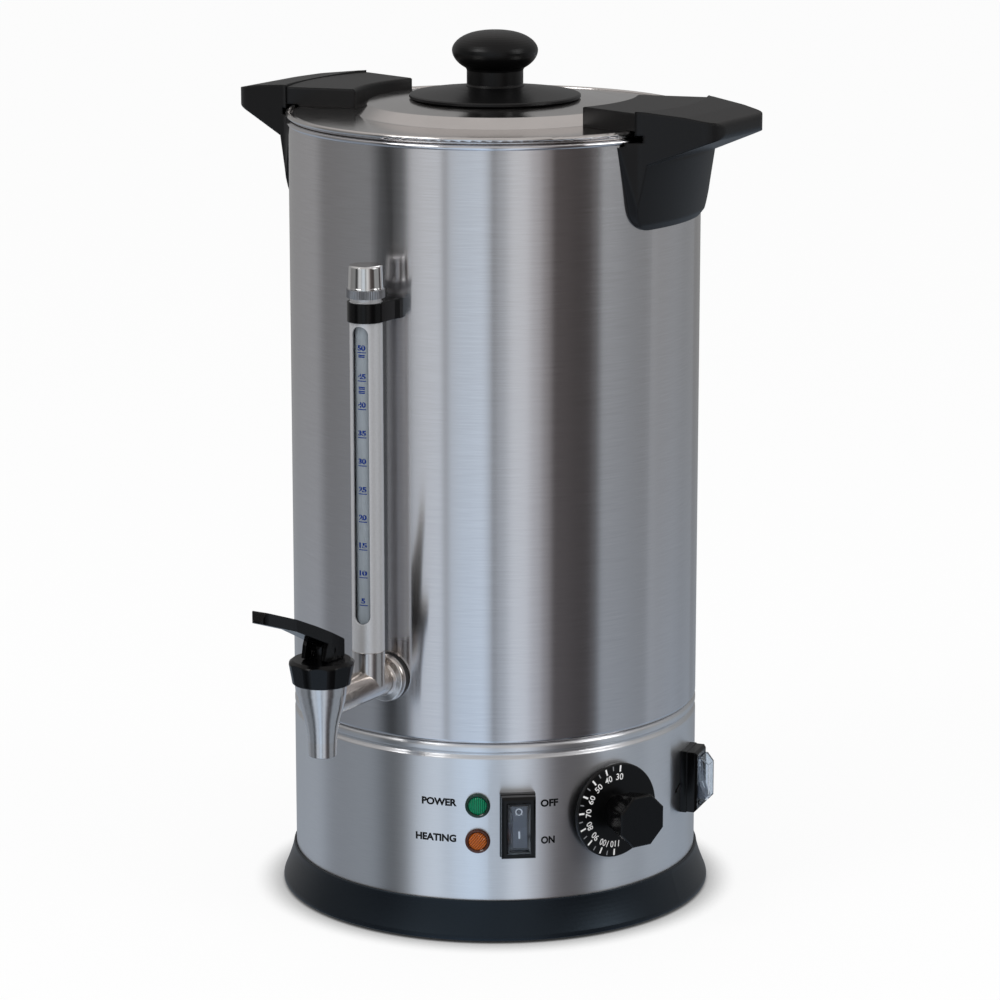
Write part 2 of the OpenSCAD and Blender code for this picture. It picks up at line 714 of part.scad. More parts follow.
// Silicone washer, flat to the flange and curved to the tank
module wall_seal() {
    color(rubber) difference() {
        on_wall(0, pipe_z) translate([0, 0, body_r - 3]) cylinder(d = flange_d - 1.6, h = seal_t + 3);
        on_wall(0, pipe_z) cylinder(d = shank_d + 2 * screw_gap, h = 2 * body_r);
        translate([0, 0, pipe_z - 30]) cylinder(r = body_r, h = 60, $fn = 180);
    }
}

// Hexagon nut inside the tank, with the collar that bears on the curved wall
module back_nut() {
    color(steel) difference() {
        union() {
            on_wall(0, pipe_z) translate([0, 0, inner_r - 9])
                cylinder(d = nut_af / cos(30), h = 5, $fn = 6);
            on_wall(0, pipe_z) translate([0, 0, inner_r - 5]) cylinder(d = nut_af - 2, h = 5);
        }
        on_wall(0, pipe_z) cylinder(d = shank_d + 0.1, h = 2 * body_r);
        difference() {
            translate([-20, -body_r - 9, pipe_z - 20]) cube([40, 18, 40]);
            translate([0, 0, pipe_z - 30]) cylinder(r = inner_r, h = 60, $fn = 180);
        }
    }
}

// Tapered spout with the valve chamber, the seat and the outlet
module tap_body() {
    color(steel) translate([0, tap_y, 0]) difference() {
        union() {
            rotate_extrude() polygon([
                [0, outlet_z], [7.8, outlet_z], [8.2, outlet_z + 0.4], [8.4, pipe_z - 22],
                [8.8, pipe_z - 18], [9.4, pipe_z - 14.2], [10.3, pipe_z - 10.2], [12.4, pipe_z - 2.4],
                [13.6, pipe_z + 2.6],
                [14.4, pipe_z + 7], [14.9, bonnet_z - 0.3], [neck_r, bonnet_z - 0.3], [neck_r, neck_top],
                [0, neck_top]
            ]);
            translate([0, 0, pipe_z]) rotate([-90, 0, 0]) cylinder(d = pipe_d, h = stub_r);
        }
        translate([0, 0, outlet_z - past]) cylinder(d = outlet_bore, h = seat_z - 3.4 - outlet_z + past);
        translate([0, 0, outlet_z]) cylinder(d = seat_bore, h = seat_z - outlet_z + past);
        translate([0, 0, seat_z]) cylinder(r1 = seat_bore / 2 + 2.2, r2 = chamber_r, h = 9);
        translate([0, 0, seat_z + 9 - 0.01]) cylinder(r = chamber_r, h = 60);
        translate([0, 0, pipe_z]) rotate([-90, 0, 0]) cylinder(d = pipe_bore, h = 40);
        translate([0, chamber_r + 0.8, pipe_z]) rotate([-90, 0, 0]) cylinder(d = spigot_d + 0.1, h = 40);
    }
}

// Bonnet that screws down over the tap's neck and guides the stem, with flats that lean outwards
module bonnet() {
    top_r = bonnet_d / 2;
    foot_r = top_r - 2;
    lean = atan2(top_r - foot_r, bonnet_h - 2.3);
    flat_depth = 0.65;
    color(black) translate([0, tap_y, 0]) difference() {
        rotate_extrude() polygon([
            [0, bonnet_z], [foot_r - 0.6, bonnet_z], [foot_r, bonnet_z + 0.6], [top_r, bonnet_top - 2.3],
            [top_r - 0.4, bonnet_top - 1.5], [top_r - 2.4, bonnet_top], [0, bonnet_top]
        ]);
        translate([0, 0, bonnet_z - past])
            cylinder(r = neck_r + screw_gap, h = neck_top + cup_flange_t - bonnet_z + past);
        cylinder(r = stem_r + running, h = 300);
        for (i = [0:bonnet_flats - 1]) rotate([0, 0, 27.8 + i * 360 / bonnet_flats])
            translate([foot_r - flat_depth, 0, bonnet_z]) rotate([0, lean, 0])
                translate([0, -10, -5]) cube([10, 20, bonnet_h + 10]);
    }
}

// The lever's heel is an involute of a circle of radius cam_r round the pin, so the stem rises in
// proportion to the lever's angle while the heel rolls and slides on the flat top of the bonnet
function cam_point(a) =
    let (h = pin_h - cam_gap + cam_r * a * PI / 180)
    [h * sin(a) + cam_r * cos(a), -h * cos(a) + cam_r * sin(a)];

// Black lever: flat bar, flared head and the two cheeks that straddle the stem
module tap_lever() {
    half_bar = lever_bar_w / 2;
    half_head = lever_head_w / 2;
    tip_u = 64.5;
    side = concat(
        [for (a = [0:3:lever_turn + 3]) cam_point(a)],
        [[7.2, 2.5], [5.6, 5.4], [33.3, 18.5]],
        rounded([[33.3, 18.5, 0], [66.2, 30.1, 1], [63, 36.3, 1], [33, 25.6, 0]], 4),
        [[16, 18.1], [0, 10.3], [-9.8, 5.3], [-10.6, 4.3], [-10.6, -pin_h + cam_gap + 0.8],
         [-9.8, -pin_h + cam_gap]]
    );
    plan = concat(
        [[-12, -half_head], [3, -half_head], [33, -half_bar]],
        arc(tip_u + 1.7 - half_bar, 0, half_bar, -90, 90, 12),
        [[33, half_bar], [3, half_head], [-12, half_head]]
    );
    color(black) translate([0, tap_y, pin_z]) difference() {
        intersection() {
            across_tap(lever_head_w + 2) polygon(side);
            translate([0, 0, -20]) rotate([0, 0, -90]) linear_extrude(height = 70) polygon(plan);
        }
        across_tap(fork_w) polygon([[-14, -12], [16, -12], [16, 10.2], [5.6, 5.3], [-14, -3.8]]);
        rotate([0, 90, 0]) cylinder(r = stem_r + 0.5, h = fork_w, center = true);
        rotate([0, 90, 0]) cylinder(r = lever_pin_d / 2 + running, h = 40, center = true);
    }
}

module lever_pin() {
    color(polished) translate([0, tap_y, pin_z])
        rotate([0, 90, 0]) cylinder(d = lever_pin_d, h = lever_head_w - 1, center = true);
}

// Stem with a rounded eye for the pin, a guided shaft and a barb that holds the seat cup
module tap_stem() {
    color(black) translate([0, tap_y, 0]) difference() {
        union() {
            intersection() {
                translate([0, 0, seat_z + 8]) cylinder(r = stem_r, h = 100);
                union() {
                    translate([-10, -10, seat_z + 7]) cube([20, 20, pin_z - seat_z - 7]);
                    translate([0, 0, pin_z]) rotate([0, 90, 0]) cylinder(r = stem_r, h = 20, center = true);
                }
            }
            translate([0, 0, seat_z + 4]) cylinder(r = stem_r - 1.4, h = 5);
            translate([0, 0, seat_z + 4]) cylinder(r1 = stem_r - 0.4, r2 = stem_r - 1.4, h = 2);
        }
        translate([0, 0, pin_z]) rotate([0, 90, 0]) cylinder(d = lever_pin_d + 0.04, h = 40, center = true);
    }
}

// Silicone seat cup: its rim is clamped under the bonnet, its bell springs, and its plug closes the seat
module seat_cup() {
    color([0.85, 0.85, 0.82]) translate([0, tap_y, 0]) difference() {
        rotate_extrude() polygon([
            [0, seat_z + 0.3], [seat_bore / 2 + 1.4, seat_z + 0.3], [seat_bore / 2 + 2.4, seat_z + 2.4],
            [seat_bore / 2 + 1.4, seat_z + 5], [seat_bore / 2 + 0.6, seat_z + 10],
            [chamber_r - 1.2, neck_top - 3], [chamber_r - 0.9, neck_top], [neck_r - 0.5, neck_top],
            [neck_r - 0.5, neck_top + cup_flange_t], [chamber_r - 2.6, neck_top + cup_flange_t],
            [chamber_r - 2.8, neck_top - 3], [seat_bore / 2 - 0.2, seat_z + 11.2], [0, seat_z + 11.2]
        ]);
        translate([0, 0, seat_z + 8]) cylinder(r = stem_r, h = 100);
        translate([0, 0, seat_z + 4]) cylinder(r = stem_r - 1.4, h = 5);
        translate([0, 0, seat_z + 4]) cylinder(r1 = stem_r - 0.4, r2 = stem_r - 1.4, h = 2);
    }
}

// ---------------------------------------------------------------- level gauge

// Metal shield with a long round-ended window, turned down at the top for the collar
module gauge_shield() {
    color(polished) translate([0, gauge_y, 0]) difference() {
        rotate_extrude() polygon([
            [shield_d / 2 - shield_wall, socket_top], [shield_d / 2, socket_top],
            [shield_d / 2, bracket_top], [shield_d / 2 - 0.6, bracket_top],
            [shield_d / 2 - 0.6, shield_top], [shield_d / 2 - shield_wall, shield_top]
        ]);
        rotate([0, 0, window_turn]) {
            for (z = [window_z0 + window_w / 2, window_z1 - window_w / 2])
                translate([0, 0, z]) rotate([90, 0, 0]) cylinder(d = window_w, h = 20);
            translate([-window_w / 2, -20, window_z0 + window_w / 2])
                cube([window_w, 20, window_z1 - window_z0 - window_w]);
        }
    }
}

module gauge_tube() {
    color(clear) translate([0, gauge_y, 0])
        tube_between(tube_r, tube_r - tube_wall, tube_z0, shield_top + 2.4);
}

// Black clip round the shield, screwed to the tank
module gauge_bracket() {
    hold_r = shield_d / 2 + 1.4;
    foot_x = bracket_screw_x + 4.4;
    color(black) difference() {
        translate([0, 0, bracket_top - bracket_h]) union() {
            translate([0, gauge_y, 0]) cylinder(r = hold_r, h = bracket_h);
            linear_extrude(height = bracket_h) polygon([
                [-hold_r, gauge_y], [hold_r, gauge_y], [hold_r, -body_r - 6], [foot_x, -body_r - 3],
                [foot_x, -body_r + 6], [-foot_x, -body_r + 6], [-foot_x, -body_r - 3],
                [-hold_r, -body_r - 6]]);
        }
        translate([0, gauge_y, 0]) cylinder(r = shield_d / 2 + running, h = 600);
        cylinder(r = body_r, h = 600, $fn = 180);
        for (x = [-bracket_screw_x, bracket_screw_x])
            translate([x, -body_r + 9, bracket_top - bracket_h / 2])
                rotate([90, 0, 0]) cylinder(d = bracket_screw_d + 2 * screw_gap, h = 14);
    }
}

module bracket_screws() {
    wall_y = -sqrt(inner_r * inner_r - bracket_screw_x * bracket_screw_x);
    color(polished) for (x = [-bracket_screw_x, bracket_screw_x])
        translate([x, wall_y + 2.6, bracket_top - bracket_h / 2]) rotate([90, 0, 0]) union() {
            cylinder(d1 = 3.6, d2 = 5.6, h = 2.1);
            translate([0, 0, 1]) cylinder(d = bracket_screw_d, h = 7);
        }
}

// Silicone sleeves that seal the clear tube at the socket and at the collar
module gauge_seals() {
    color(rubber) translate([0, gauge_y, 0]) {
        tube_between(socket_d / 2 - 1.25, tube_r + 0.02, tube_z0, socket_top - 0.6);
        tube_between(shield_d / 2 - shield_wall - 0.05, tube_r + 0.02, shield_top - 9, shield_top - 1);
    }
}

// Knurled ring that clamps the upper sleeve
module gauge_collar() {
    color(steel) translate([0, gauge_y, shield_top]) difference() {
        linear_extrude(height = collar_h) polygon([for (i = [0:2 * collar_teeth - 1])
            (collar_d / 2 - (i % 2) * 0.45) * [cos(180 * i / collar_teeth), sin(180 * i / collar_teeth)]]);
        translate([0, 0, -past]) cylinder(r = tube_r + 0.1, h = collar_h + 2 * past);
    }
}

module gauge_cap() {
    color(polished) translate([0, gauge_y, cap_z]) rotate_extrude() polygon([
        [0, 1.2], [tube_r, 1.2], [tube_r, 0], [10.6, 0], [10.6, 0.8], [10.4, 1.2],
        [9.9, cap_h - 1], [9.4, cap_h - 0.3], [8.8, cap_h], [0, cap_h]
    ]);
}

// ---------------------------------------------------------------- lamps, switches and dial

// Round bezel on the shell, with its barrel behind the panel
module lamp_bezel(z) {
    r = lamp_d / 2;
    color(black) on_wall(lamp_angle, z) rotate_extrude() polygon([
        [0, body_r - 18], [r - 1.35, body_r - 18], [r - 1.35, body_r], [r, body_r], [r, body_r + 1.2],
        [r - 0.5, body_r + 1.9], [r - 1.3, body_r + 2.2], [r - 2, body_r + 1.7], [r - 2, body_r - 8],
        [0, body_r - 8]
    ]);
}

// Domed lens that fills the bezel
module lamp_lens(z, tint) {
    lens_r = lamp_d / 2 - 2.05;
    color(tint) on_wall(lamp_angle, z) rotate_extrude() polygon(concat(
        [[0, body_r - 7.9], [lens_r, body_r - 7.9], [lens_r, body_r + 1.2]],
        [for (i = [1:8]) [lens_r * cos(90 * i / 8), body_r + 1.2 + 1.6 * sin(90 * i / 8)]]
    ));
}

module power_lamp_bezel() { lamp_bezel(power_lamp_z); }

module power_lamp_lens() { lamp_lens(power_lamp_z, [0.05, 0.45, 0.25]); }

module heating_lamp_bezel() { lamp_bezel(heating_lamp_z); }

module heating_lamp_lens() { lamp_lens(heating_lamp_z, [0.85, 0.4, 0.08]); }

// A block with its outer edges chamfered: w across, h up, from r0 to r1 off the axis
module chamfered_block(w, h, r0, r1, cut_w, cut_h, cut_r) {
    intersection() {
        translate([0, h, 0]) rotate([90, 0, 0]) linear_extrude(height = 2 * h) polygon([
            [-w / 2, r0], [w / 2, r0], [w / 2, r1 - cut_r], [w / 2 - cut_w, r1], [cut_w - w / 2, r1],
            [-w / 2, r1 - cut_r]]);
        translate([-w, 0, 0]) rotate([90, 0, 90]) linear_extrude(height = 2 * w) polygon([
            [-h / 2, r0], [h / 2, r0], [h / 2, r1 - cut_r], [h / 2 - cut_h, r1], [cut_h - h / 2, r1],
            [-h / 2, r1 - cut_r]]);
    }
}

// Black frame, curved to the shell at the back, with the window that the boot fills
module switch_frame(angle, z) {
    color(black) on_wall(angle, z) difference() {
        union() {
            chamfered_block(switch_w, switch_h, body_r - 3, body_r + 3.7, 0.3, 0.3, 0.3);
            chamfered_block(switch_w - 0.8, switch_h - 0.8, body_r - 3, frame_face, 1.3, 1.5, 1.5);
        }
        translate([-window_x / 2, -window_y / 2, body_r - 9]) cube([window_x, window_y, 40]);
        translate([0, switch_h, 0]) rotate([90, 0, 0]) cylinder(r = body_r, h = 2 * switch_h, $fn = 180);
    }
}

// Clear boot over the rocker: a thin box with steep chamfers, and a lip behind the frame's window
module switch_boot(angle, z) {
    w = window_x - 2 * boot_gap;
    h = window_y - 2 * boot_gap;
    color(clear) on_wall(angle, z) difference() {
        chamfered_block(w, h, body_r + 0.4, boot_face, 2, boot_chamfer, boot_chamfer);
        chamfered_block(w - 2 * boot_wall, h - 2 * boot_wall, body_r - past, boot_face - boot_wall,
            1.6, boot_chamfer - 0.3, boot_chamfer - 0.3);
    }
}

// Switch behind the panel: a cup that carries the rocker's trunnions, and three blade terminals
module switch_body(angle, z) {
    color(black) on_wall(angle, z) difference() {
        union() {
            translate([-switch_body_w / 2, -switch_body_h / 2, body_r - 20])
                cube([switch_body_w, switch_body_h, 20]);
            for (x = [-1, 1])
                translate([x * (rocker_w / 2 + 0.65) - 0.4, -4, body_r - 2]) cube([0.8, 8, 12]);
            for (y = [-9, 0, 9]) translate([-3, y - 0.4, body_r - 28]) cube([6, 0.8, 10]);
        }
        translate([-rocker_w / 2 - 0.25, -switch_body_h / 2 + 1.2, body_r - 8])
            cube([rocker_w + 0.5, switch_body_h - 2.4, 9]);
        translate([-20, 0, pivot_r]) rotate([0, 90, 0]) cylinder(d = trunnion_d + 2 * running, h = 40);
    }
}

// Rocker, tipped with its upper end in, on two trunnions
module rocker(angle, z) {
    half_l = rocker_l / 2;
    color([0.12, 0.13, 0.15])
    on_wall(angle, z) translate([0, 0, pivot_r]) rotate([-rocker_turn / 2, 0, 0]) {
        translate([-rocker_w / 2, 0, 0]) rotate([90, 0, 90]) linear_extrude(height = rocker_w) polygon([
            [-half_l, rocker_rise], [-half_l + 0.4, 0.6], [-4, -4], [4, -4], [half_l - 0.4, 0.6],
            [half_l, rocker_rise], [0, rocker_rise - 1.6]]);
        rotate([0, 90, 0]) cylinder(d = trunnion_d, h = rocker_w + 1.9, center = true);
    }
}

module front_switch_frame() { switch_frame(front_switch_angle, front_switch_z); }

module front_switch_boot() { switch_boot(front_switch_angle, front_switch_z); }

module front_switch_body() { switch_body(front_switch_angle, front_switch_z); }

module front_rocker() { rocker(front_switch_angle, front_switch_z); }

module side_switch_frame() { switch_frame(side_switch_angle, side_switch_z); }

module side_switch_boot() { switch_boot(side_switch_angle, side_switch_z); }

module side_switch_body() { switch_body(side_switch_angle, side_switch_z); }

module side_rocker() { rocker(side_switch_angle, side_switch_z); }

// Skirt that carries the scale
module dial_skirt() {
    color(black) on_wall(dial_angle, dial_z) difference() {
        rotate_extrude() polygon([
            [0, skirt_r0], [dial_d / 2 - 0.8, skirt_r0], [dial_d / 2, skirt_r0 + 0.6],
            [dial_d / 2, skirt_r0 + skirt_t - 0.6], [dial_d / 2 - 0.6, skirt_r0 + skirt_t],
            [0, skirt_r0 + skirt_t]
        ]);
        cylinder(d = shaft_d + 2 * running, h = 2 * body_r);
    }
}

// Eight-sided knob that widens towards its face, on a round neck
module dial_knob() {
    neck_h = 6;
    face_r = 16.9;
    color(black) on_wall(dial_angle, dial_z) difference() {
        union() {
            translate([0, 0, knob_r0]) cylinder(r = 9.6, h = neck_h + 1);
            rotate([0, 0, 22.5]) {
                translate([0, 0, knob_r0 + neck_h]) cylinder(r1 = 12.2, r2 = 13.2, h = 1, $fn = 8);
                translate([0, 0, knob_r0 + neck_h + 1])
                    cylinder(r1 = 13.2, r2 = face_r, h = dial_knob_h - neck_h - 1.8, $fn = 8);
                translate([0, 0, knob_r0 + dial_knob_h - 0.8])
                    cylinder(r1 = face_r, r2 = face_r - 0.8, h = 0.8, $fn = 8);
            }
        }
        cylinder(d = shaft_d + 2 * running, h = knob_r0 + 13);
    }
}

module thermostat_shaft() {
    color(polished) on_wall(dial_angle, dial_z) difference() {
        translate([0, 0, body_r - 22]) cylinder(d = shaft_d, h = knob_r0 + 12 - body_r + 22);
        translate([shaft_d / 2 - 1.2, -shaft_d, knob_r0 + 2]) cube([shaft_d, 2 * shaft_d, 20]);
    }
}

// ---------------------------------------------------------------- lid

// Pressed lid: a rolled edge, a flat border that carries the lugs, a step and a shallow cone
module lid_panel() {
    step_foot = [lid_border_r, lid_top_z];
    step_top = [lid_border_r - lid_step - 1, lid_top_z + lid_step];
    top = concat(
        [[body_r - 1.4, lid_top_z - 0.6], [body_r - 3.4, lid_top_z]],
        rounded_path([
            [body_r - 3.4, lid_top_z], step_foot, step_top, [knob_flange_r - 4, lid_centre_z]], 3),
        [[0, lid_centre_z]]);
    under = concat(
        [[0, lid_centre_z - lid_t]],
        reversed(rounded_path([
            [body_r - 3.4, lid_top_z - lid_t], step_foot - [0.6, lid_t], step_top - [0.6, lid_t],
            [knob_flange_r - 4, lid_centre_z - lid_t]], 3)),
        [[lid_skirt_r - sheet_t, lid_top_z - lid_t], [lid_skirt_r - sheet_t, lid_seat_z]]);
    edge = [[body_r - 0.7, lid_seat_z], [body_r - 0.1, lid_seat_z + 0.8], [body_r, lid_edge_z]];
    color(polished) difference() {
        union() {
            rotate_extrude($fn = 180) polygon(concat(under, edge, top));
            rotate_extrude($fn = 180)
                translate([body_r + 0.1, lid_edge_z]) circle(r = lid_edge_r, $fn = 32);
        }
        for (side = [0, 180], y = [-lug_screw_y, lug_screw_y])
            rotate([0, 0, side]) translate([lug_screw_r, y, rim_z])
                cylinder(d = lug_screw_d + 2 * screw_gap, h = 40);
        translate([0, 0, rim_z]) cylinder(d = knob_bolt_d + 2 * screw_gap, h = 40);
    }
}

// Ring welded under the lid, which plugs the tank's mouth
module lid_skirt() {
    color(steel) tube_between(lid_skirt_r, lid_skirt_r - sheet_t, rim_z - lid_skirt_h, lid_seat_z);
}

// Black lug on the lid that continues a handle's grip inwards
module lug(turn) {
    lug_half_w = grip_root_half_w - 0.2;
    plan = rounded([
        [lug_inner_r - 6, -lug_half_w + 11, 0], [lug_outer_r * cos(20), -lug_half_w - 0.8, 2.5],
        [lug_outer_r + 9, -lug_half_w - 3, 0], [lug_outer_r + 9, lug_half_w + 3, 0],
        [lug_outer_r * cos(20), lug_half_w + 0.8, 2.5], [lug_inner_r - 6, lug_half_w - 11, 0]], 6);
    color(black) rotate([0, 0, turn]) difference() {
        intersection() {
            translate([0, 0, rim_z]) linear_extrude(height = lug_top_z - rim_z) polygon(plan);
            rotate_extrude($fn = 180) polygon([
                [lug_inner_r, lid_top_z], [body_r - 3.4, lid_top_z], [body_r - 2.4, lug_seat_z],
                [lug_outer_r, lug_seat_z], [lug_outer_r, lug_top_z - 0.5], [lug_outer_r - 0.5, lug_top_z],
                [lug_inner_r + 1.6, lug_top_z], [lug_inner_r + 0.5, lug_top_z - 0.5],
                [lug_inner_r, lug_top_z - 1.6]]);
        }
        for (y = [-lug_screw_y, lug_screw_y])
            translate([lug_screw_r, y, rim_z])
                cylinder(d = lug_screw_d + 2 * screw_gap, h = lug_top_z - rim_z - 3);
    }
}

module left_lug() { lug(180); }

module right_lug() { lug(0); }

// Screws from below the lid into the lugs
module lug_screws() {
    head_h = 2.2;
    head_z = lid_top_z - lid_t - head_h;
    color(polished) for (side = [0, 180], y = [-lug_screw_y, lug_screw_y])
        rotate([0, 0, side]) translate([lug_screw_r, y, head_z]) union() {
            cylinder(d1 = 6, d2 = 7.6, h = head_h);
            translate([0, 0, head_h - 0.2]) cylinder(d = lug_screw_d, h = lug_top_z - head_z - 6);
        }
}

// Round black flange, slightly domed, between the lid and the knob
module knob_flange() {
    color(black) difference() {
        rotate_extrude($fn = 120) polygon([
            [0, lid_centre_z], [knob_flange_r - 1, lid_centre_z], [knob_flange_r, lid_centre_z + 0.8],
            [knob_flange_r - 0.2, lid_centre_z + knob_flange_t - 0.6],
            [knob_flange_r - 1.4, lid_centre_z + knob_flange_t],
            [knob_neck_d / 2 + 8, knob_neck_z - 1.2], [knob_neck_d / 2 + 2, knob_neck_z], [0, knob_neck_z]
        ]);
        cylinder(d = knob_bolt_d + 2 * screw_gap, h = 2 * rim_z);
    }
}

// Bun-shaped knob on a straight neck
module lid_knob() {
    head_r = knob_d / 2;
    neck_r0 = knob_neck_d / 2;
    belly_z = knob_head_z + knob_head_h * 0.48;
    top_z = knob_head_z + knob_head_h;
    under_r = neck_r0 + 0.7;
    under_turn = acos(under_r / head_r);
    under_h = (belly_z - knob_head_z) / sin(under_turn);
    color(black) difference() {
        rotate_extrude($fn = 120) polygon(concat(
            [[0, knob_neck_z], [neck_r0 + 0.8, knob_neck_z], [neck_r0, knob_neck_z + 1.2],
             [neck_r0, knob_head_z - 1.4]],
            [for (i = [0:10]) [
                head_r * cos(under_turn * (1 - i / 10)),
                belly_z - under_h * sin(under_turn * (1 - i / 10))]],
            [for (i = [1:12]) [
                head_r * pow(cos(90 * i / 12), 0.8),
                belly_z + (top_z - belly_z) * pow(sin(90 * i / 12), 1.12)]]
        ));
        translate([0, 0, knob_neck_z - past]) cylinder(d = knob_bolt_d + 2 * screw_gap, h = 16);
    }
}

// Bolt from below the lid into the knob
module knob_bolt() {
    color(polished) union() {
        translate([0, 0, lid_centre_z - 5]) cylinder(d = knob_bolt_d * 2, h = 3.8);
        translate([0, 0, lid_centre_z - 2]) cylinder(d = knob_bolt_d, h = knob_neck_z + 12 - lid_centre_z);
    }
}

base_ring();
base_plate();
feet();
base_screws();
lower_shell();
tie_rods();
tie_nuts();
power_inlet();
inlet_screws();
tank();
heat_plate();
heating_element();
heat_shield();
boil_dry_cutout();
thermostat_body();
thermostat_bulb();
dial_nut();
terminal_block();
left_handle();
right_handle();
handle_screws();
tap_pipe();
wall_seal();
back_nut();
tap_body();
bonnet();
tap_lever();
lever_pin();
tap_stem();
seat_cup();
gauge_shield();
gauge_tube();
gauge_bracket();
bracket_screws();
gauge_seals();
gauge_collar();
gauge_cap();
power_lamp_bezel();
power_lamp_lens();
heating_lamp_bezel();
heating_lamp_lens();
front_switch_frame();
front_switch_boot();
front_switch_body();
front_rocker();
side_switch_frame();
side_switch_boot();
side_switch_body();
side_rocker();
dial_skirt();
dial_knob();
thermostat_shaft();
lid_panel();
lid_skirt();
left_lug();
right_lug();
lug_screws();
knob_flange();
lid_knob();
knob_bolt();
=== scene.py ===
# %% [markdown]
# # A hot water urn, dressed for the camera
#
# The urn's solids come from a CAD model, and they stay where they are from here on. This lesson gives each
# solid its finish, then adds what such a model leaves out: the words, signs and figures that are printed on
# the urn, and a stand-in copy of the silicone seat cup. We start by loading the solids.

# %% Load the urn's solids
import bpy
import bmesh
import json
import math
from mathutils import Matrix, Vector


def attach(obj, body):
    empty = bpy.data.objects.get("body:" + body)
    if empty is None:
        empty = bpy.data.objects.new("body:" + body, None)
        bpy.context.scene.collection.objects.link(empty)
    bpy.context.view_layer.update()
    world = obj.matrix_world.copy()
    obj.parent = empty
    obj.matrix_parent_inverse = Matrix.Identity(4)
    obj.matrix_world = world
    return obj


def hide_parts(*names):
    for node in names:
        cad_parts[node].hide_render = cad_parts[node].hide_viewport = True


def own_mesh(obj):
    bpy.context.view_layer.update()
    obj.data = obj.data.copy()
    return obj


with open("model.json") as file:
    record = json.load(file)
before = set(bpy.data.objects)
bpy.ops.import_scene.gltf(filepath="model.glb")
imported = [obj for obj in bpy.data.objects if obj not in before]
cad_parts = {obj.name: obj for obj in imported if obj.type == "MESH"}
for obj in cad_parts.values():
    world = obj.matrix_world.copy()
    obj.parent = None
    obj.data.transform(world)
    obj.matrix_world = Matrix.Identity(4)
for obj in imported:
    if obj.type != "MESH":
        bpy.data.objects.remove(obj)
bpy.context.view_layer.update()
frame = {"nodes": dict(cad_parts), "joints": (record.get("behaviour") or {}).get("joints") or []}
node = frame["nodes"]
joint = {j["name"]: j for j in frame["joints"]}
scene = bpy.context.scene

# %% [markdown]
# Places on the round housing are easiest to say as a turn from the tap and a height. One helper turns
# those into a matrix in metres. Another reads them back from a joint, so that what is printed on a moving
# piece finds its place by itself. Lengths are in millimetres, because that is how such a part is drawn.

# %% Places on the round wall
MM = 0.001
BODY_R = 125.0


def turned(degrees, axis):
    """A matrix that turns by an angle round an axis."""
    return Matrix.Rotation(math.radians(degrees), 4, axis)


def wall_matrix(turn_deg, height, out):
    """Local x runs round the wall, y runs up and z points away from the axis, all in millimetres."""
    a = math.radians(turn_deg)
    place = turned(turn_deg, "Z") @ turned(90, "X")
    place.translation = Vector((math.sin(a) * out, -math.cos(a) * out, height))
    return Matrix.Scale(MM, 4) @ place


def joint_place(name):
    """A joint's turn from the tap in degrees, its height and its distance from the axis in mm."""
    x, y, z = joint[name]["pos_m"]
    return math.degrees(math.atan2(x, -y)), z / MM, math.hypot(x, y) / MM


print("the dial's joint, as turn, height and distance:", [round(v, 1) for v in joint_place("dial_turn")])

# %% [markdown]
# ## The camera
#
# The camera stands 2.37 m from the urn's axis, a third of a right angle to the right of the tap and a
# little above the lid. It could stand closer with a shorter lens, but the tank's sides would then lean
# together towards the foot. A long lens from further off keeps them nearly parallel.

# %% Set up the camera
CAMERA_TURN = math.radians(31.08)
CAMERA_AWAY, CAMERA_HEIGHT = 2.369, 0.7918  # metres
CAMERA_TILT = 13.06  # degrees below level
CAMERA_PAN = -0.00127  # radians off the urn's axis
camera_data = bpy.data.cameras.new("camera")
camera_data.sensor_width = 36
camera_data.lens = 141.53
camera_data.clip_end = 50
camera = bpy.data.objects.new("camera", camera_data)
scene.collection.objects.link(camera)
camera.location = (CAMERA_AWAY * math.sin(CAMERA_TURN), -CAMERA_AWAY * math.cos(CAMERA_TURN), CAMERA_HEIGHT)
camera.rotation_euler = (math.radians(90 - CAMERA_TILT), 0, CAMERA_TURN + CAMERA_PAN)
scene.camera = camera
print("camera at", [round(v, 3) for v in camera.location])

# %% [markdown]
# ## Light
#
# Materials, the world and the floor are all built from nodes. A helper adds one node, sets it and wires
# it up, so that each step below reads as one line: what the node is, and what goes into it. The world
# starts empty, and the Standard view shows a white of 1 as plain white.

# %% A helper for nodes, and an empty world
def add_node(tree, kind, inputs=None, **settings):
    """Adds a shader node. An input is given by name or number, as a plain value or another node's output."""
    made = tree.nodes.new("ShaderNode" + kind)
    for setting, value in settings.items():
        setattr(made, setting, value)
    for socket, value in (inputs or {}).items():
        if isinstance(value, bpy.types.NodeSocket):
            tree.links.new(value, made.inputs[socket])
        else:
            made.inputs[socket].default_value = value
    return made


scene.view_settings.view_transform = "Standard"
world = bpy.data.worlds.new("studio")
scene.world = world
world.use_nodes = True
sky = world.node_tree
sky.nodes.clear()
print("an empty world:", world.name)

# %% [markdown]
# Bright steel shows the room more than it shows its own colour. A studio for such a piece is a white tent
# with a few darker gaps, and the gaps give the tank its upright bands. Real panels of cloth round the urn
# would need many objects, and the camera would see them. Here the world stands in for the tent: a colour
# ramp runs once round the horizon, from behind the urn past the tap and back.

# %% Which way a ray looks
def sky_math(operation, first, second=None):
    """One step of arithmetic on numbers or outputs of the world's nodes."""
    values = {0: first} if second is None else {0: first, 1: second}
    return add_node(sky, "Math", values, operation=operation).outputs[0]


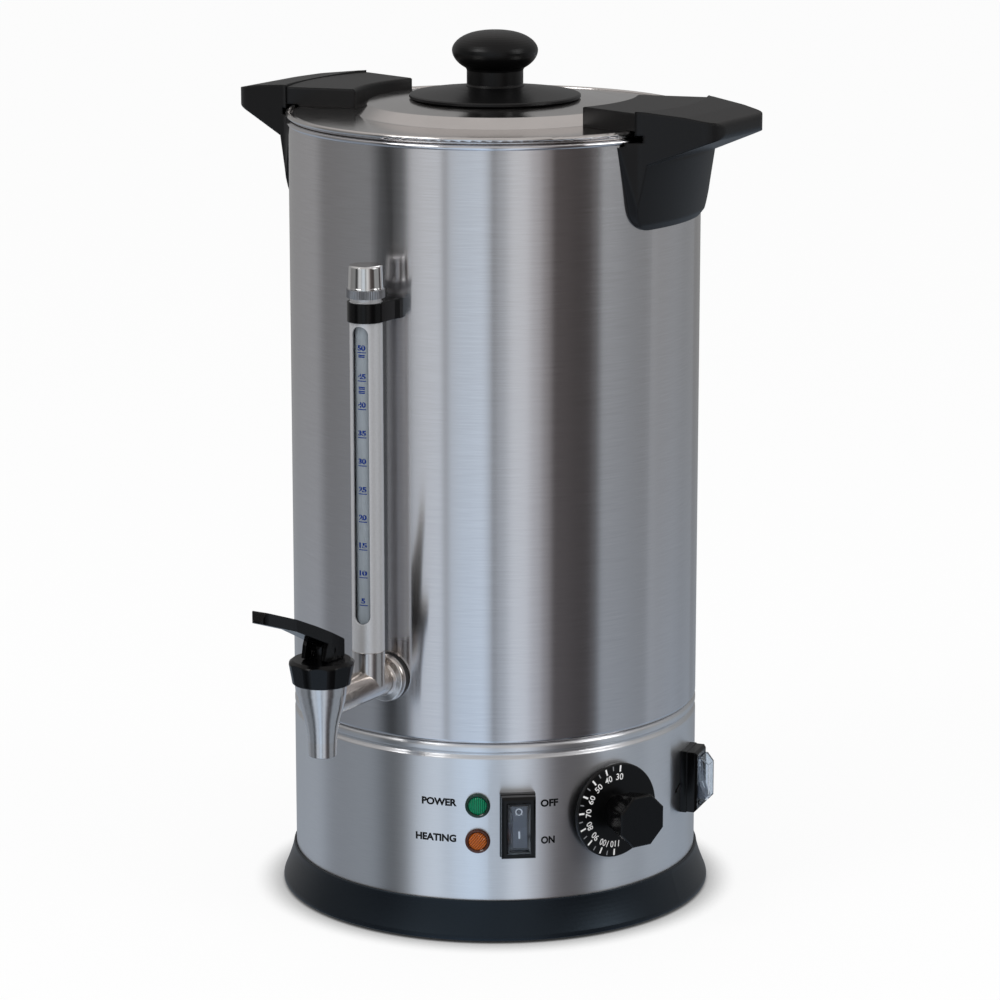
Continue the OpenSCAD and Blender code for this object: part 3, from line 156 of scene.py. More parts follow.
direction = add_node(sky, "TexCoord").outputs["Generated"]
direction_x, direction_y, direction_z = add_node(sky, "SeparateXYZ", {0: direction}).outputs
forward = sky_math("MULTIPLY", direction_y, -1)
turn = sky_math("DIVIDE", sky_math("ARCTAN2", direction_x, forward), 2 * math.pi)
around = sky_math("FRACT", sky_math("ADD", turn, 0.5))
print("the world's direction takes", len(sky.nodes), "nodes")

# %% [markdown]
# The bands are set as in a studio where cards are moved round a bright pot until it looks right.
# Each stop has a direction, a brightness and a tint. Between the tap and the camera stands the brightest,
# slightly blue window, with a thin grey line on each side. Further right a wide gap is nearly black and
# warm, and a narrow one lies to the left of the tap.

# %% Bands round the horizon
# degrees from the tap, brightness, warm (-) or cool (+) tint
BANDS = [
    (-180, 0.26, 0), (-130, 0.31, 0), (-90, 0.36, -0.01), (-77, 0.23, -0.02), (-45, 0.26, 0), (-30, 0.05, 0),
    (-22, 0.13, 0.01), (-14, 0.60, 0.01), (-8, 0.68, 0.01), (0, 0.71, 0.02), (3.5, 0.42, 0.01),
    (7, 0.66, 0.05), (14, 0.72, 0.07), (24, 0.77, 0.07), (27.5, 0.62, 0.05), (30, 0.33, 0.01),
    (34, 0.48, 0.02), (42, 0.73, 0), (47, 0.72, -0.01), (54, 0.50, -0.04), (60, 0.28, -0.09),
    (65, 0.09, -0.16), (84, 0.055, -0.16), (89, 0.11, -0.08), (94, 0.34, 0.01), (104, 0.33, 0.01),
    (124, 0.30, 0), (130, 0.38, 0), (137, 0.36, 0), (152, 0.36, 0.02), (164, 0.32, 0.02),
]


def stop(turn_from_tap):
    """Where a direction, in degrees from the tap, falls along the ramp."""
    return (turn_from_tap / 360 + 0.5) % 1


def tinted(level, cool):
    """A grey of one brightness. A warm tint adds more red to it than it takes from the blue."""
    return (level * (1 - cool), level, level * (1 + max(cool, cool / 4)), 1)


ramp = add_node(sky, "ValToRGB", {0: around})
ramp.color_ramp.interpolation = "EASE"
stops = ramp.color_ramp.elements
while len(stops) > 1:
    stops.remove(stops[0])
for index, (degrees, level, cool) in enumerate(BANDS):
    band = stops[0] if index == 0 else stops.new(stop(degrees))
    band.position = stop(degrees)
    band.color = tinted(level, cool)
print(len(stops), "stops round the room")

# %% [markdown]
# Overhead the tent is one even, slightly warm sheet, and ahead it fades into the bands. Below the horizon
# the bands are seen in a pale floor that catches some blue from the sky. They are multiplied by a cool
# white there, and not mixed with it, so the gaps stay dark while the foot of the urn looks cooler and
# brighter than its top.

# %% Ceiling and ground
CEILING_FROM, CEILING_FULL = 0.30, 0.75
CEILING_COLOR = (0.62, 0.60, 0.59, 1)
GROUND_FROM, GROUND_FULL = -0.16, -0.36
GROUND_TINT = (1.05, 1.22, 1.44, 1)


def height_share(start, full):
    """0 where a ray's height is start, 1 where it is full, smooth between. A ray straight up has height 1."""
    limits = {"Value": direction_z, "From Min": start, "From Max": full}
    return add_node(sky, "MapRange", limits, interpolation_type="SMOOTHSTEP").outputs["Result"]


ceiling_mix = {"Factor": height_share(CEILING_FROM, CEILING_FULL), "A": ramp.outputs["Color"],
               "B": CEILING_COLOR}
ceiling = add_node(sky, "Mix", ceiling_mix, data_type="RGBA")
ground_mix = {"Factor": height_share(GROUND_FROM, GROUND_FULL), "A": ceiling.outputs["Result"],
              "B": GROUND_TINT}
ground = add_node(sky, "Mix", ground_mix, data_type="RGBA", blend_type="MULTIPLY")
print("the ceiling starts", round(math.degrees(math.asin(CEILING_FROM))), "degrees above the horizon")

# %% [markdown]
# Light Path tells what kind of ray is asking. Reflections get the bands, dull surfaces get an even light,
# and the camera gets plain white, also when it looks through the clear plastics.

# %% Who sees what
EVEN_LIGHT = (0.8, 0.8, 0.8, 1)
WHITE = (1, 1, 1, 1)


def background(color):
    return add_node(sky, "Background", {"Color": color}).outputs[0]


def sky_mix(share, first, second):
    return add_node(sky, "MixShader", {0: share, 1: first, 2: second}).outputs[0]


path = add_node(sky, "LightPath").outputs
light = sky_mix(path["Is Glossy Ray"], background(EVEN_LIGHT), background(ground.outputs["Result"]))
seen_directly = sky_math("MAXIMUM", path["Is Camera Ray"], path["Is Transmission Ray"])
add_node(sky, "OutputWorld", {0: sky_mix(seen_directly, light, background(WHITE))})
print("world nodes:", len(sky.nodes))

# %% [markdown]
# The even light alone would leave the black plastics flat. Two soft lamps give them their shape: a large
# one high on the left and a weaker one on the right.

# %% Two soft lamps
AIM = Vector((0, 0, 0.3))


def soft_lamp(name, turn_deg, away, height, size, power):
    """A round lamp at a turn from the tap that looks at the urn's middle, in metres and watts."""
    data = bpy.data.lights.new(name, "AREA")
    data.shape = "DISK"
    data.size = size
    data.energy = power
    lamp = bpy.data.objects.new(name, data)
    scene.collection.objects.link(lamp)
    a = math.radians(turn_deg)
    lamp.location = (away * math.sin(a), -away * math.cos(a), height)
    lamp.rotation_euler = (AIM - lamp.location).to_track_quat("-Z", "Y").to_euler()
    print(name, "at", [round(v, 2) for v in lamp.location])


soft_lamp("key_lamp", turn_deg=-20, away=1.9, height=1.9, size=1.1, power=14)
soft_lamp("fill_lamp", turn_deg=95, away=2.0, height=1.2, size=1.0, power=9)

# %% [markdown]
# The urn stands on a plain pale sheet, far wider than the view. Reflections don't see the sheet, because
# the world's lower half already stands for it there, with the tint that a lit floor would have.

# %% A sheet for a floor
FLOOR_HALF = 6  # metres
sheet = bmesh.new()
bmesh.ops.create_grid(sheet, x_segments=1, y_segments=1, size=FLOOR_HALF)
floor_mesh = bpy.data.meshes.new("floor")
sheet.to_mesh(floor_mesh)
sheet.free()
floor = bpy.data.objects.new("floor", floor_mesh)
scene.collection.objects.link(floor)
floor.visible_glossy = False
print("floor size:", [round(v, 1) for v in floor.dimensions])

# %% [markdown]
# A lamp-lit sheet would fade to grey far around the urn, so what the camera sees of it is mostly an even
# white that darkens only where something stands close by. An ambient occlusion node measures that. The rest
# is the sheet's own shade, so the soft shadow stays.

# %% Paper for the sheet
PAPER_COLOR = (0.95, 0.95, 0.95, 1)
CONTACT_REACH, CONTACT_GAMMA = 0.02, 2.2  # metres, and how fast the dark fades
EVEN_SHARE = 0.88
paper = bpy.data.materials.new("studio_paper")
paper.use_nodes = True
pulp = paper.node_tree
pulp.nodes.clear()
shade = add_node(pulp, "BsdfDiffuse", {"Color": PAPER_COLOR})
near = add_node(pulp, "AmbientOcclusion", {"Distance": CONTACT_REACH}, samples=12)
deepen = add_node(pulp, "Gamma", {"Color": near.outputs["Color"], "Gamma": CONTACT_GAMMA})
glow = add_node(pulp, "Emission", {"Color": deepen.outputs[0]})
seen = add_node(pulp, "LightPath").outputs["Is Camera Ray"]
share = add_node(pulp, "Math", {0: seen, 1: EVEN_SHARE}, operation="MULTIPLY")
blend = add_node(pulp, "MixShader", {0: share.outputs[0], 1: shade.outputs[0], 2: glow.outputs[0]})
add_node(pulp, "OutputMaterial", {0: blend.outputs[0]})
floor_mesh.materials.append(paper)
print("the paper has", len(pulp.nodes), "nodes")

# %% [markdown]
# ## Finishes
#
# Every finish is a Principled shader with its plain numbers on the sockets, plus noise that reads the
# Object coordinates. Painted textures would need a layout for each solid. Noise in space needs none, runs
# over any shape without a seam, and has a true scale. It gives a finish its grain: it moves the roughness
# and the colour a little and raises a fine bump. A moulded or turned edge is never quite sharp, so a Bevel
# node can round it for the light. One helper makes all of them, so each finish below is only a few numbers.

# %% A helper for finishes
def two_tones(tree, factor, color, low, high, start=0.0, end=1.0):
    """The colour from a darker to a lighter tone of itself, as a factor goes from start to end."""
    tones = add_node(tree, "ValToRGB", {0: factor})
    for tone, level, position in zip(tones.color_ramp.elements, (low, high), (start, end)):
        tone.color = (color[0] * level, color[1] * level, color[2] * level, 1)
        tone.position = position
    return tones.outputs[0]


def finish(name, color, rough, grain, depth, metal=0, rough_spread=0.08, tint=0.06, edge=0, **sockets):
    """A finish whose noise has grain cycles per metre, one number or three along x, y and z.

    The bump's depth and the radius that softens the edges are in millimetres. Other sockets of the shader
    are given by name, with _ for a space."""
    made = bpy.data.materials.new(name)
    made.use_nodes = True
    tree = made.node_tree
    look = tree.nodes["Principled BSDF"]
    look.inputs["Metallic"].default_value = metal
    for socket, value in sockets.items():
        look.inputs[socket.replace("_", " ")].default_value = value
    cycles = grain if isinstance(grain, tuple) else (grain, grain, grain)
    place = add_node(tree, "TexCoord").outputs["Object"]
    stretch = add_node(tree, "Mapping", {"Vector": place, "Scale": cycles})
    cloud = add_node(tree, "TexNoise", {"Vector": stretch.outputs[0], "Scale": 1, "Detail": 3})
    noise = cloud.outputs["Fac"]
    limits = {"Value": noise, "To Min": rough - rough_spread, "To Max": rough + rough_spread}
    tree.links.new(add_node(tree, "MapRange", limits).outputs[0], look.inputs["Roughness"])
    tones = two_tones(tree, noise, color, 1 - tint, 1 + tint, start=0.25, end=0.75)
    tree.links.new(tones, look.inputs["Base Color"])
    bump = add_node(tree, "Bump", {"Strength": 1, "Distance": depth * MM, "Height": noise})
    tree.links.new(bump.outputs[0], look.inputs["Normal"])
    if edge:
        soften = add_node(tree, "Bevel", {"Radius": edge * MM})
        tree.links.new(soften.outputs[0], bump.inputs["Normal"])
    return made


FINEST_GRAIN = 2600
print("a grain of", FINEST_GRAIN, "cycles per metre is", round(1 / FINEST_GRAIN / MM, 2), "mm wide")

# %% [markdown]
# A solid comes with one plain material in its slot. A second helper empties the slot and puts a finish in.
# It also remembers which solids it has dressed, so that none is forgotten.

# %% Dress a solid
finished = set()


def wear(material, *names):
    """Gives the named solids one finish."""
    for name in names:
        slots = node[name].data.materials
        slots.clear()
        slots.append(material)
        finished.add(name)


print("solids that wait for a finish:", len(node) - len(finished))

# %% [markdown]
# The tank and the lower housing are brushed steel. The belt ran round the body, so the scratches are
# long along x and y and very fine along z. That spreads a reflection up and down but keeps the upright
# edges of the bands crisp. Anisotropic does the same for scratches too fine to draw. The lower housing was
# brushed harder, so it shows the room less clearly. The lid's folded rim gets a dark brown steel colour,
# a painted shade for the shadowed gap along the lid's edge.

# %% Brushed steel
steel = finish("brushed_steel", color=(0.63, 0.62, 0.63), rough=0.155, grain=(50, 50, FINEST_GRAIN),
               depth=0.0012, metal=1, rough_spread=0.035, tint=0.05, Anisotropic=0.9,
               Anisotropic_Rotation=0.25)
wear(steel, "tank")
shell_steel = finish("shell_steel", color=(0.72, 0.73, 0.75), rough=0.30, grain=(90, 90, 2200), depth=0.0006,
                     metal=1, rough_spread=0.02, tint=0.03, Anisotropic=0.8, Anisotropic_Rotation=0.25)
wear(shell_steel, "lower_shell")
lid_steel = finish("lid_steel", color=(0.64, 0.615, 0.60), rough=0.14, grain=60, depth=0.002, metal=1,
                   rough_spread=0.04, tint=0.03, edge=0.5)
wear(lid_steel, "lid_panel")
# The rim's dark brown colour is painted shade, for the shadowed gap along the lid's edge.
rim_painted_shade = finish("rim_painted_shade", color=(0.34, 0.30, 0.28), rough=0.20, grain=(60, 60, 400), depth=0.002,
                   metal=1, rough_spread=0.05, tint=0.05)
wear(rim_painted_shade, "lid_skirt")
print("steel on", sorted(finished))

# %% [markdown]
# The gauge's shield is a rolled sheet with a satin anodised skin, so it only hints at the room. Its cap is
# polished and chromed, and the collar under it is knurled. The tap's body and pipe are blasted, then
# polished a little. The same helper serves them all, with more or less roughness.

# %% Metals that show
anodised = finish("anodised_satin", color=(0.60, 0.60, 0.61), rough=0.42, grain=900, depth=0.003, metal=0.6,
                  rough_spread=0.05, tint=0.04, edge=0.4)
wear(anodised, "gauge_shield")
chrome = finish("polished_chrome", color=(0.72, 0.72, 0.72), rough=0.08, grain=200, depth=0.0005, metal=1,
                rough_spread=0.02, tint=0.02, edge=0.6)
wear(chrome, "gauge_cap")
knurled = finish("knurled_grey", color=(0.33, 0.33, 0.34), rough=0.38, grain=400, depth=0.006, metal=1,
                 rough_spread=0.06, tint=0.08, edge=0.3)
wear(knurled, "gauge_collar")
satin = finish("satin_metal", color=(0.61, 0.575, 0.55), rough=0.22, grain=300, depth=0.0015, metal=1,
               rough_spread=0.04, tint=0.04, edge=0.4)
wear(satin, "tap_pipe", "tap_body", "back_nut")
print(len(finished), "solids have a finish")

# %% [markdown]
# Inside the urn the metals are plain: a bright shield that throws the heat back, a cast plate, the dark
# sheath of the element, and bought-in parts and fasteners in dull zinc.

# %% Metals inside
bright = finish("bright_steel", color=(0.74, 0.74, 0.74), rough=0.14, grain=(90, 90, 400), depth=0.002,
                metal=1, rough_spread=0.04, tint=0.03)
wear(bright, "heat_shield")
cast = finish("cast_aluminium", color=(0.60, 0.60, 0.61), rough=0.45, grain=500, depth=0.02, metal=1)
wear(cast, "heat_plate")
sheath = finish("element_sheath", color=(0.30, 0.28, 0.27), rough=0.5, grain=300, depth=0.01, metal=1)
wear(sheath, "heating_element")
zinc = finish("plain_sheet", color=(0.55, 0.55, 0.56), rough=0.35, grain=200, depth=0.004, metal=1)
wear(zinc, "base_plate", "thermostat_body", "tie_rods", "tie_nuts", "dial_nut", "thermostat_bulb",
     "thermostat_shaft", "base_screws", "inlet_screws", "handle_screws", "bracket_screws", "lug_screws",
     "knob_bolt")
print(len(finished), "solids have a finish")

# %% [markdown]
# The handles, lid lugs and knob are moulded in black plastic with a fine spark-eroded grain, and the handles'
# corners are well rounded. The tap's bonnet and lever and the switch frames came from polished moulds, so
# their edges catch the light. The carbon black in such plastics swallows nearly all that isn't gloss, so
# their colour is close to zero and the shape shows only in the reflections.

# %% Black plastics
handle_black = finish("handle_black", color=(0.0030, 0.0027, 0.0029), rough=0.42, grain=1300, depth=0.015,
                      rough_spread=0.05, tint=0.15, edge=2.2, Specular_IOR_Level=0.28)
wear(handle_black, "left_handle", "right_handle", "left_lug", "right_lug")
moulded = finish("moulded_black", color=(0.0022, 0.0021, 0.0023), rough=0.34, grain=1500, depth=0.012,
                 rough_spread=0.06, tint=0.15, edge=0.5, Specular_IOR_Level=0.24)
wear(moulded, "lid_knob", "knob_flange", "power_inlet", "dial_skirt")
# The base ring's black and its gloss are both tinted blue: a painted bluish sheen.
base_black_painted_sheen = finish("base_black_painted_sheen", color=(0.0040, 0.0050, 0.0070), rough=0.34, grain=900, depth=0.010,
                    rough_spread=0.05, tint=0.12, edge=0.5, Specular_IOR_Level=0.38,
                    Specular_Tint=(0.6, 0.8, 1.0, 1))
wear(base_black_painted_sheen, "base_ring")
gloss_black = finish("gloss_black", color=(0.0015, 0.0015, 0.0017), rough=0.17, grain=1200, depth=0.004,
                     rough_spread=0.05, tint=0.12, edge=0.6, Specular_IOR_Level=0.22)
wear(gloss_black, "bonnet", "tap_lever", "tap_stem", "gauge_bracket", "front_switch_frame",
     "side_switch_frame", "dial_knob", "lever_pin")
rocker_grey = finish("rocker_grey", color=(0.060, 0.070, 0.095), rough=0.35, grain=1200, depth=0.006,
                     rough_spread=0.05, tint=0.1, edge=0.4)
wear(rocker_grey, "front_rocker", "side_rocker", "front_switch_body", "side_switch_body",
     "boil_dry_cutout")
print(len(finished), "solids have a finish")

# %% [markdown]
# Rubber feet and seals are dull and slightly dusty, and the terminal block is glazed ceramic. The seat cup
# is milky silicone. Some light would pass through it, but it sits in the dark of the tap, so a plain pale
# finish will do.

# %% Rubber, silicone and ceramic
rubber = finish("black_rubber", color=(0.03, 0.03, 0.03), rough=0.75, grain=700, depth=0.02)
wear(rubber, "feet", "wall_seal", "gauge_seals")
silicone = finish("milky_silicone", color=(0.74, 0.74, 0.71), rough=0.5, grain=500, depth=0.005,
                  rough_spread=0.05, tint=0.03)
wear(silicone, "seat_cup")
ceramic = finish("glazed_ceramic", color=(0.80, 0.79, 0.74), rough=0.25, grain=400, depth=0.01,
                 rough_spread=0.05, tint=0.03)
wear(ceramic, "terminal_block")
print(len(finished), "solids have a finish")

# %% [markdown]
# The gauge tube is a plastic that has gone slightly milky, so it scatters some light and lets the rest
# through. The boots over the switches are softer and clearer, and their IOR is kept low so that the thin
# film doesn't bend the view of the rocker like a thick lens.

# %% Clear plastics
tube = finish("milky_tube", color=(0.40, 0.45, 0.50), rough=0.14, grain=300, depth=0.001,
              rough_spread=0.03, tint=0.03, Transmission_Weight=0.45, IOR=1.45)
wear(tube, "gauge_tube")
boot = finish("clear_boot", color=(0.72, 0.78, 0.85), rough=0.08, grain=500, depth=0.002,
              rough_spread=0.04, tint=0.03, Transmission_Weight=0.98, IOR=1.25)
wear(boot, "front_switch_boot", "side_switch_boot")
print(len(finished), "solids have a finish")

# %% [markdown]
# Each pilot lamp is a tinted lens in a darker bezel of the same colour. The lens is ribbed at the back, to
# spread the bulb's light. The ribs are too fine to be worth modelling, so a Wave node adds them to the
# finish, as a second bump on top of the first and as stripes of colour: painted shade in the grooves and a
# painted highlight on the ridges.

# %% Pilot lamps
PILOT_TURN = 26  # degrees from the tap
RIB_SCALE = 240
RIB_DEPTH = 0.35  # mm
# Tones of the rib stripes: painted shade in the grooves and a painted highlight on the ridges.
RIB_PAINTED_SHADE, RIB_PAINTED_HIGHLIGHT = 0.55, 1.35
# solid, finish, the lens's colour, how far its ribs lean in degrees, the bezel's colour
PILOT_LAMPS = (
    ("power_lamp", "green", (0.0, 0.22, 0.10), 0, (0.002, 0.022, 0.014)),
    ("heating_lamp", "amber", (0.48, 0.11, 0.01), 40, (0.055, 0.013, 0.005)),
)


def ribbed(name, color, lean):
    """A tinted lens with ribs that lean by an angle. A wave's bands are pi / (10 scale) metres apart."""
    made = finish(name, color, rough=0.12, grain=900, depth=0.006, rough_spread=0.04, tint=0.25,
                  Transmission_Weight=0.2, IOR=1.49)
    tree = made.node_tree
    look = tree.nodes["Principled BSDF"]
    leaning = {"Vector": add_node(tree, "TexCoord").outputs["Object"],
               "Rotation": (0, math.radians(lean), math.radians(PILOT_TURN))}
    across = add_node(tree, "Mapping", leaning, vector_type="TEXTURE").outputs[0]
    wave = add_node(tree, "TexWave", {"Vector": across, "Scale": RIB_SCALE}, bands_direction="X")
    ribs = wave.outputs["Fac"]
    grain = tree.nodes["Bump"].outputs[0]
    bump = add_node(tree, "Bump", {"Distance": RIB_DEPTH * MM, "Height": ribs, "Normal": grain})
    tree.links.new(bump.outputs[0], look.inputs["Normal"])
    # The colour follows the ribs' height: painted shade where they are low, painted highlight where high.
    tree.links.new(two_tones(tree, ribs, color, RIB_PAINTED_SHADE, RIB_PAINTED_HIGHLIGHT), look.inputs["Base Color"])
    return made


for lamp, tone, lens_color, lean, bezel_color in PILOT_LAMPS:
    wear(ribbed(tone + "_lens", lens_color, lean), lamp + "_lens")
    bezel = finish(tone + "_bezel", bezel_color, rough=0.15, grain=900, depth=0.004, rough_spread=0.04,
                   tint=0.2, edge=0.4)
    wear(bezel, lamp + "_bezel")
print("ribs are", round(math.pi / (10 * RIB_SCALE) / MM, 2), "mm apart")
print("solids left without a finish:", sorted(set(node) - finished))

# %% [markdown]
# ## The soft cup in the tap
#
# The seat cup's rim is clamped under the bonnet, and its lower end rises with the stem when the lever is
# pressed. A rigid solid can't do both, so a copy of the cup with a mesh of its own stands for it, riding on
# the housing while the original is hidden. It could be bent by a cloth simulation, but it moves less than
# 3 mm out of sight, so the copy keeps its shape.

# %% A copy of the cup
cup = bmesh.new()
cup.from_mesh(node["seat_cup"].data)
bmesh.ops.remove_doubles(cup, verts=cup.verts, dist=0.001 * MM)
cup_mesh = bpy.data.meshes.new("soft_seat_cup")
cup.to_mesh(cup_mesh)
cup.free()
cup_mesh.materials.clear()
cup_mesh.materials.append(silicone)
soft_cup = bpy.data.objects.new("soft_seat_cup", cup_mesh)
scene.collection.objects.link(soft_cup)
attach(soft_cup, "housing")
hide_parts("seat_cup")
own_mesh(soft_cup)

# %% [markdown]
# ## Printing
#
# Words and figures are printed on the housing, the dial's skirt and the gauge. An image of them would
# blur up close, so a font curve becomes a flat mesh, and each of its points is laid on the surface it is
# printed on. Capitals fill about 0.7 of a font's size, and the offset makes the thin strokes bolder.

# %% Turn words into a flat mesh
CAPITAL_SHARE = 0.7


def flat_words(text, height, width, bold):
    """Words as a bmesh in millimetres, made to fill a height and a width round the origin."""
    data = bpy.data.curves.new("words", "FONT")
    data.body = text
    data.size = height / CAPITAL_SHARE
    data.offset = bold * height
    data.resolution_u = 4
    carrier = bpy.data.objects.new("words", data)
    scene.collection.objects.link(carrier)
    bpy.context.view_layer.update()
    mesh = bpy.data.meshes.new_from_object(carrier.evaluated_get(bpy.context.evaluated_depsgraph_get()))
    bpy.data.objects.remove(carrier)
    made = bmesh.new()
    made.from_mesh(mesh)
    bpy.data.meshes.remove(mesh)
    xs, ys = [v.co.x for v in made.verts], [v.co.y for v in made.verts]
    middle = Vector(((max(xs) + min(xs)) / 2, (max(ys) + min(ys)) / 2, 0))
    stretch = (width / (max(xs) - min(xs)), height / (max(ys) - min(ys)), 1)
    bmesh.ops.translate(made, verts=made.verts, vec=-middle)
    bmesh.ops.scale(made, verts=made.verts, vec=stretch)
    return made


sample = flat_words("30", 4.0, 5.2, 0.012)
print("a figure has", len(sample.verts), "points")
sample.free()

# %% [markdown]
# Marks and strokes are flat bars, cut across where they have to bend with a round surface. All printing
# goes through one last helper. It moves a flat shape to its place, gives it its ink and lets it ride on a
# body, so that it moves with what it is printed on.

# %% Bars, joining and placing
def turn_flat(target, points, degrees):
    """Turns points of a flat shape round the origin."""
    spin = Matrix.Rotation(math.radians(degrees), 3, "Z")
    bmesh.ops.rotate(target, verts=points, cent=(0, 0, 0), matrix=spin)


def bar(target, length, width, centre=(0, 0), lean=0.0, pieces=1):
    """Adds a flat bar to a bmesh. Its length runs along x before it leans, in degrees."""
    points = bmesh.ops.create_grid(target, x_segments=pieces, y_segments=1, size=0.5)["verts"]
    bmesh.ops.scale(target, verts=points, vec=(length, width, 1))
    turn_flat(target, points, lean)
    bmesh.ops.translate(target, verts=points, vec=(*centre, 0))


def join(whole, part):
    """Adds one bmesh to another and frees it."""
    carrier = bpy.data.meshes.new("part")
    part.to_mesh(carrier)
    part.free()
    whole.from_mesh(carrier)
    bpy.data.meshes.remove(carrier)


def place_piece(name, made, matrix, body, material):
    """Moves a bmesh to its place and makes it a piece that rides on a body."""
    bmesh.ops.transform(made, matrix=matrix, verts=made.verts)
    mesh = bpy.data.meshes.new(name)
    made.to_mesh(mesh)
    made.free()
    mesh.materials.append(material)
    piece = bpy.data.objects.new(name, mesh)
    scene.collection.objects.link(piece)
    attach(piece, body)
    print(name, "has", len(mesh.polygons), "faces and rides on", body)


# %% [markdown]
# Screen ink is a thin, slightly rough film. It lies 0.05 mm proud of its surface, which is less than
# anyone sees, but enough to keep the two surfaces from flickering through each other.

# %% Inks
INK_LIFT = 0.05


def ink(name, color):
    return finish(name, color, rough=0.45, grain=900, depth=0.002, rough_spread=0.05, tint=0.05,
                  Specular_IOR_Level=0.15)


black_ink = ink("black_ink", (0.004, 0.004, 0.004))
white_ink = ink("white_ink", (0.85, 0.85, 0.85))
grey_ink = ink("grey_ink", (0.30, 0.31, 0.33))
blue_ink = ink("blue_ink", (0.0, 0.022, 0.17))
print("inks:", [made.name for made in (black_ink, white_ink, grey_ink, blue_ink)])

# %% [markdown]
# The words beside the lamps and the switch stand on the curved housing. Laid on a flat plane, a long word
# would sink into the steel in its middle or stand off it at its ends. So each point of a word is rolled
# back to the wall's radius, and the word bends with the steel.

# %% Words on the housing
LETTER_HEIGHT, LETTER_BOLD = 4.7, 0.062
# word, width in mm, degrees from the tap, height above the table in mm
WORDS = (("POWER", 21.8, 15.5, 85.2), ("HEATING", 25.4, 14.5, 62.8), ("OFF", 10.9, 46.1, 84.5),
         ("ON", 8.6, 45.7, 61.4))


def bend(made, wall_r, ink_r):
    """Rolls a flat shape round local y. It keeps its width on the wall's radius and lies on the ink's."""
    for v in made.verts:
        a = v.co.x / wall_r
        v.co = Vector((ink_r * math.sin(a), v.co.y, ink_r * math.cos(a)))


def on_the_wall(name, made, turn_deg, height):
    bend(made, BODY_R, BODY_R)
    place_piece(name, made, wall_matrix(turn_deg, height, INK_LIFT), "housing", black_ink)


for word, width, turn_deg, height in WORDS:
    letters = flat_words(word, LETTER_HEIGHT, width, LETTER_BOLD)
    on_the_wall("word_" + word.lower(), letters, turn_deg, height)

# %% [markdown]
# A small arrow beside the rear switch points down and to the left. It is a bar and a three-cornered head,
# drawn lying along x, leant over as one, and bent onto the wall in the same way as the words.

# %% A small arrow
ARROW_TURN, ARROW_HEIGHT, ARROW_LEAN = 94.6, 73.2, 32
SHAFT_LENGTH, SHAFT_WIDTH, SHAFT_MIDDLE = 5.6, 1.0, 1.6
HEAD_R, HEAD_MIDDLE = 2.0, -2.2
arrow = bmesh.new()
bar(arrow, SHAFT_LENGTH, SHAFT_WIDTH, centre=(SHAFT_MIDDLE, 0), pieces=3)
head = bmesh.ops.create_circle(arrow, cap_ends=True, segments=3, radius=HEAD_R)["verts"]
turn_flat(arrow, head, 90)
bmesh.ops.translate(arrow, verts=head, vec=(HEAD_MIDDLE, 0, 0))
turn_flat(arrow, arrow.verts, ARROW_LEAN)
on_the_wall("small_arrow", arrow, ARROW_TURN, ARROW_HEIGHT)

# %% [markdown]
# The dial's skirt carries a mark every five degrees and a figure every ten, from 30 to 110, running
# round the left side. The longer marks are printed bolder, and the figures stand with their heads outwards.
# A loop turns each mark and figure to its place. The scale is printed on the skirt, which turns with the
# knob, so it rides on the dial. The marks go into two pieces, because the fine ones are a fainter grey.

# %% The dial's scale
DIAL_TURN, DIAL_Z, _ = joint_place("dial_turn")
SKIRT_FACE = 130.0  # from the urn's axis
MARKS, FIRST_MARK, MARK_STEP = 17, 84.5, 11.35
FIRST_TEMPERATURE, TEMPERATURE_STEP = 30, 5
MARK_OUTER = 27.9
LONG_INNER, LONG_WIDTH = 24.0, 1.1
SHORT_INNER, SHORT_WIDTH = 25.2, 0.6
DIAL_FIGURE_R, DIAL_FIGURE_HEIGHT, DIAL_FIGURE_BOLD = 20.9, 4.0, 0.012
DIAL_FIGURE_WIDTH = {2: 5.2, 3: 6.4}  # by the number of digits


def mark(target, turn_deg, inner, width):
    """Adds a bar that points away from the dial's centre."""
    middle, a = (inner + MARK_OUTER) / 2, math.radians(turn_deg)
    bar(target, MARK_OUTER - inner, width, (middle * math.cos(a), middle * math.sin(a)), turn_deg)


bold_scale, fine_scale = bmesh.new(), bmesh.new()
for k in range(MARKS):
    turn_deg = FIRST_MARK + k * MARK_STEP
    if k % 2:
        mark(fine_scale, turn_deg, SHORT_INNER, SHORT_WIDTH)
        continue
    mark(bold_scale, turn_deg, LONG_INNER, LONG_WIDTH)
    label = str(FIRST_TEMPERATURE + TEMPERATURE_STEP * k)
    figure = flat_words(label, DIAL_FIGURE_HEIGHT, DIAL_FIGURE_WIDTH[len(label)], DIAL_FIGURE_BOLD)
    spin = turned(turn_deg - 90, "Z") @ Matrix.Translation((0, DIAL_FIGURE_R, 0))
    bmesh.ops.transform(figure, matrix=spin, verts=figure.verts)
    join(bold_scale, figure)
skirt_place = wall_matrix(DIAL_TURN, DIAL_Z, SKIRT_FACE + INK_LIFT)
place_piece("dial_figures", bold_scale, skirt_place, "dial", white_ink)
place_piece("dial_fine_marks", fine_scale, skirt_place, "dial", grey_ink)

# %% [markdown]
# Each rocker carries a ring at its upper end and a bar at its lower end, the signs for off and on. The
# ring is a round face that is inset, with its middle deleted. The rocker's face is a shallow V with a
# slope above and one below the pivot, so each sign is leant onto its slope before both ride on the rocker.

# %% Signs on the rockers
ROCKER_REST = 12.0
DISH_HEIGHT = 2.8
FACE_SLOPE = math.degrees(math.atan2(1.6, 12.5))
SIGN_LIFT = 0.04
RING_R, RING_WIDTH, RING_Y = 2.15, 0.65, 9.3
LINE_WIDTH, LINE_LENGTH, LINE_Y = 1.1, 4.4, -4.4


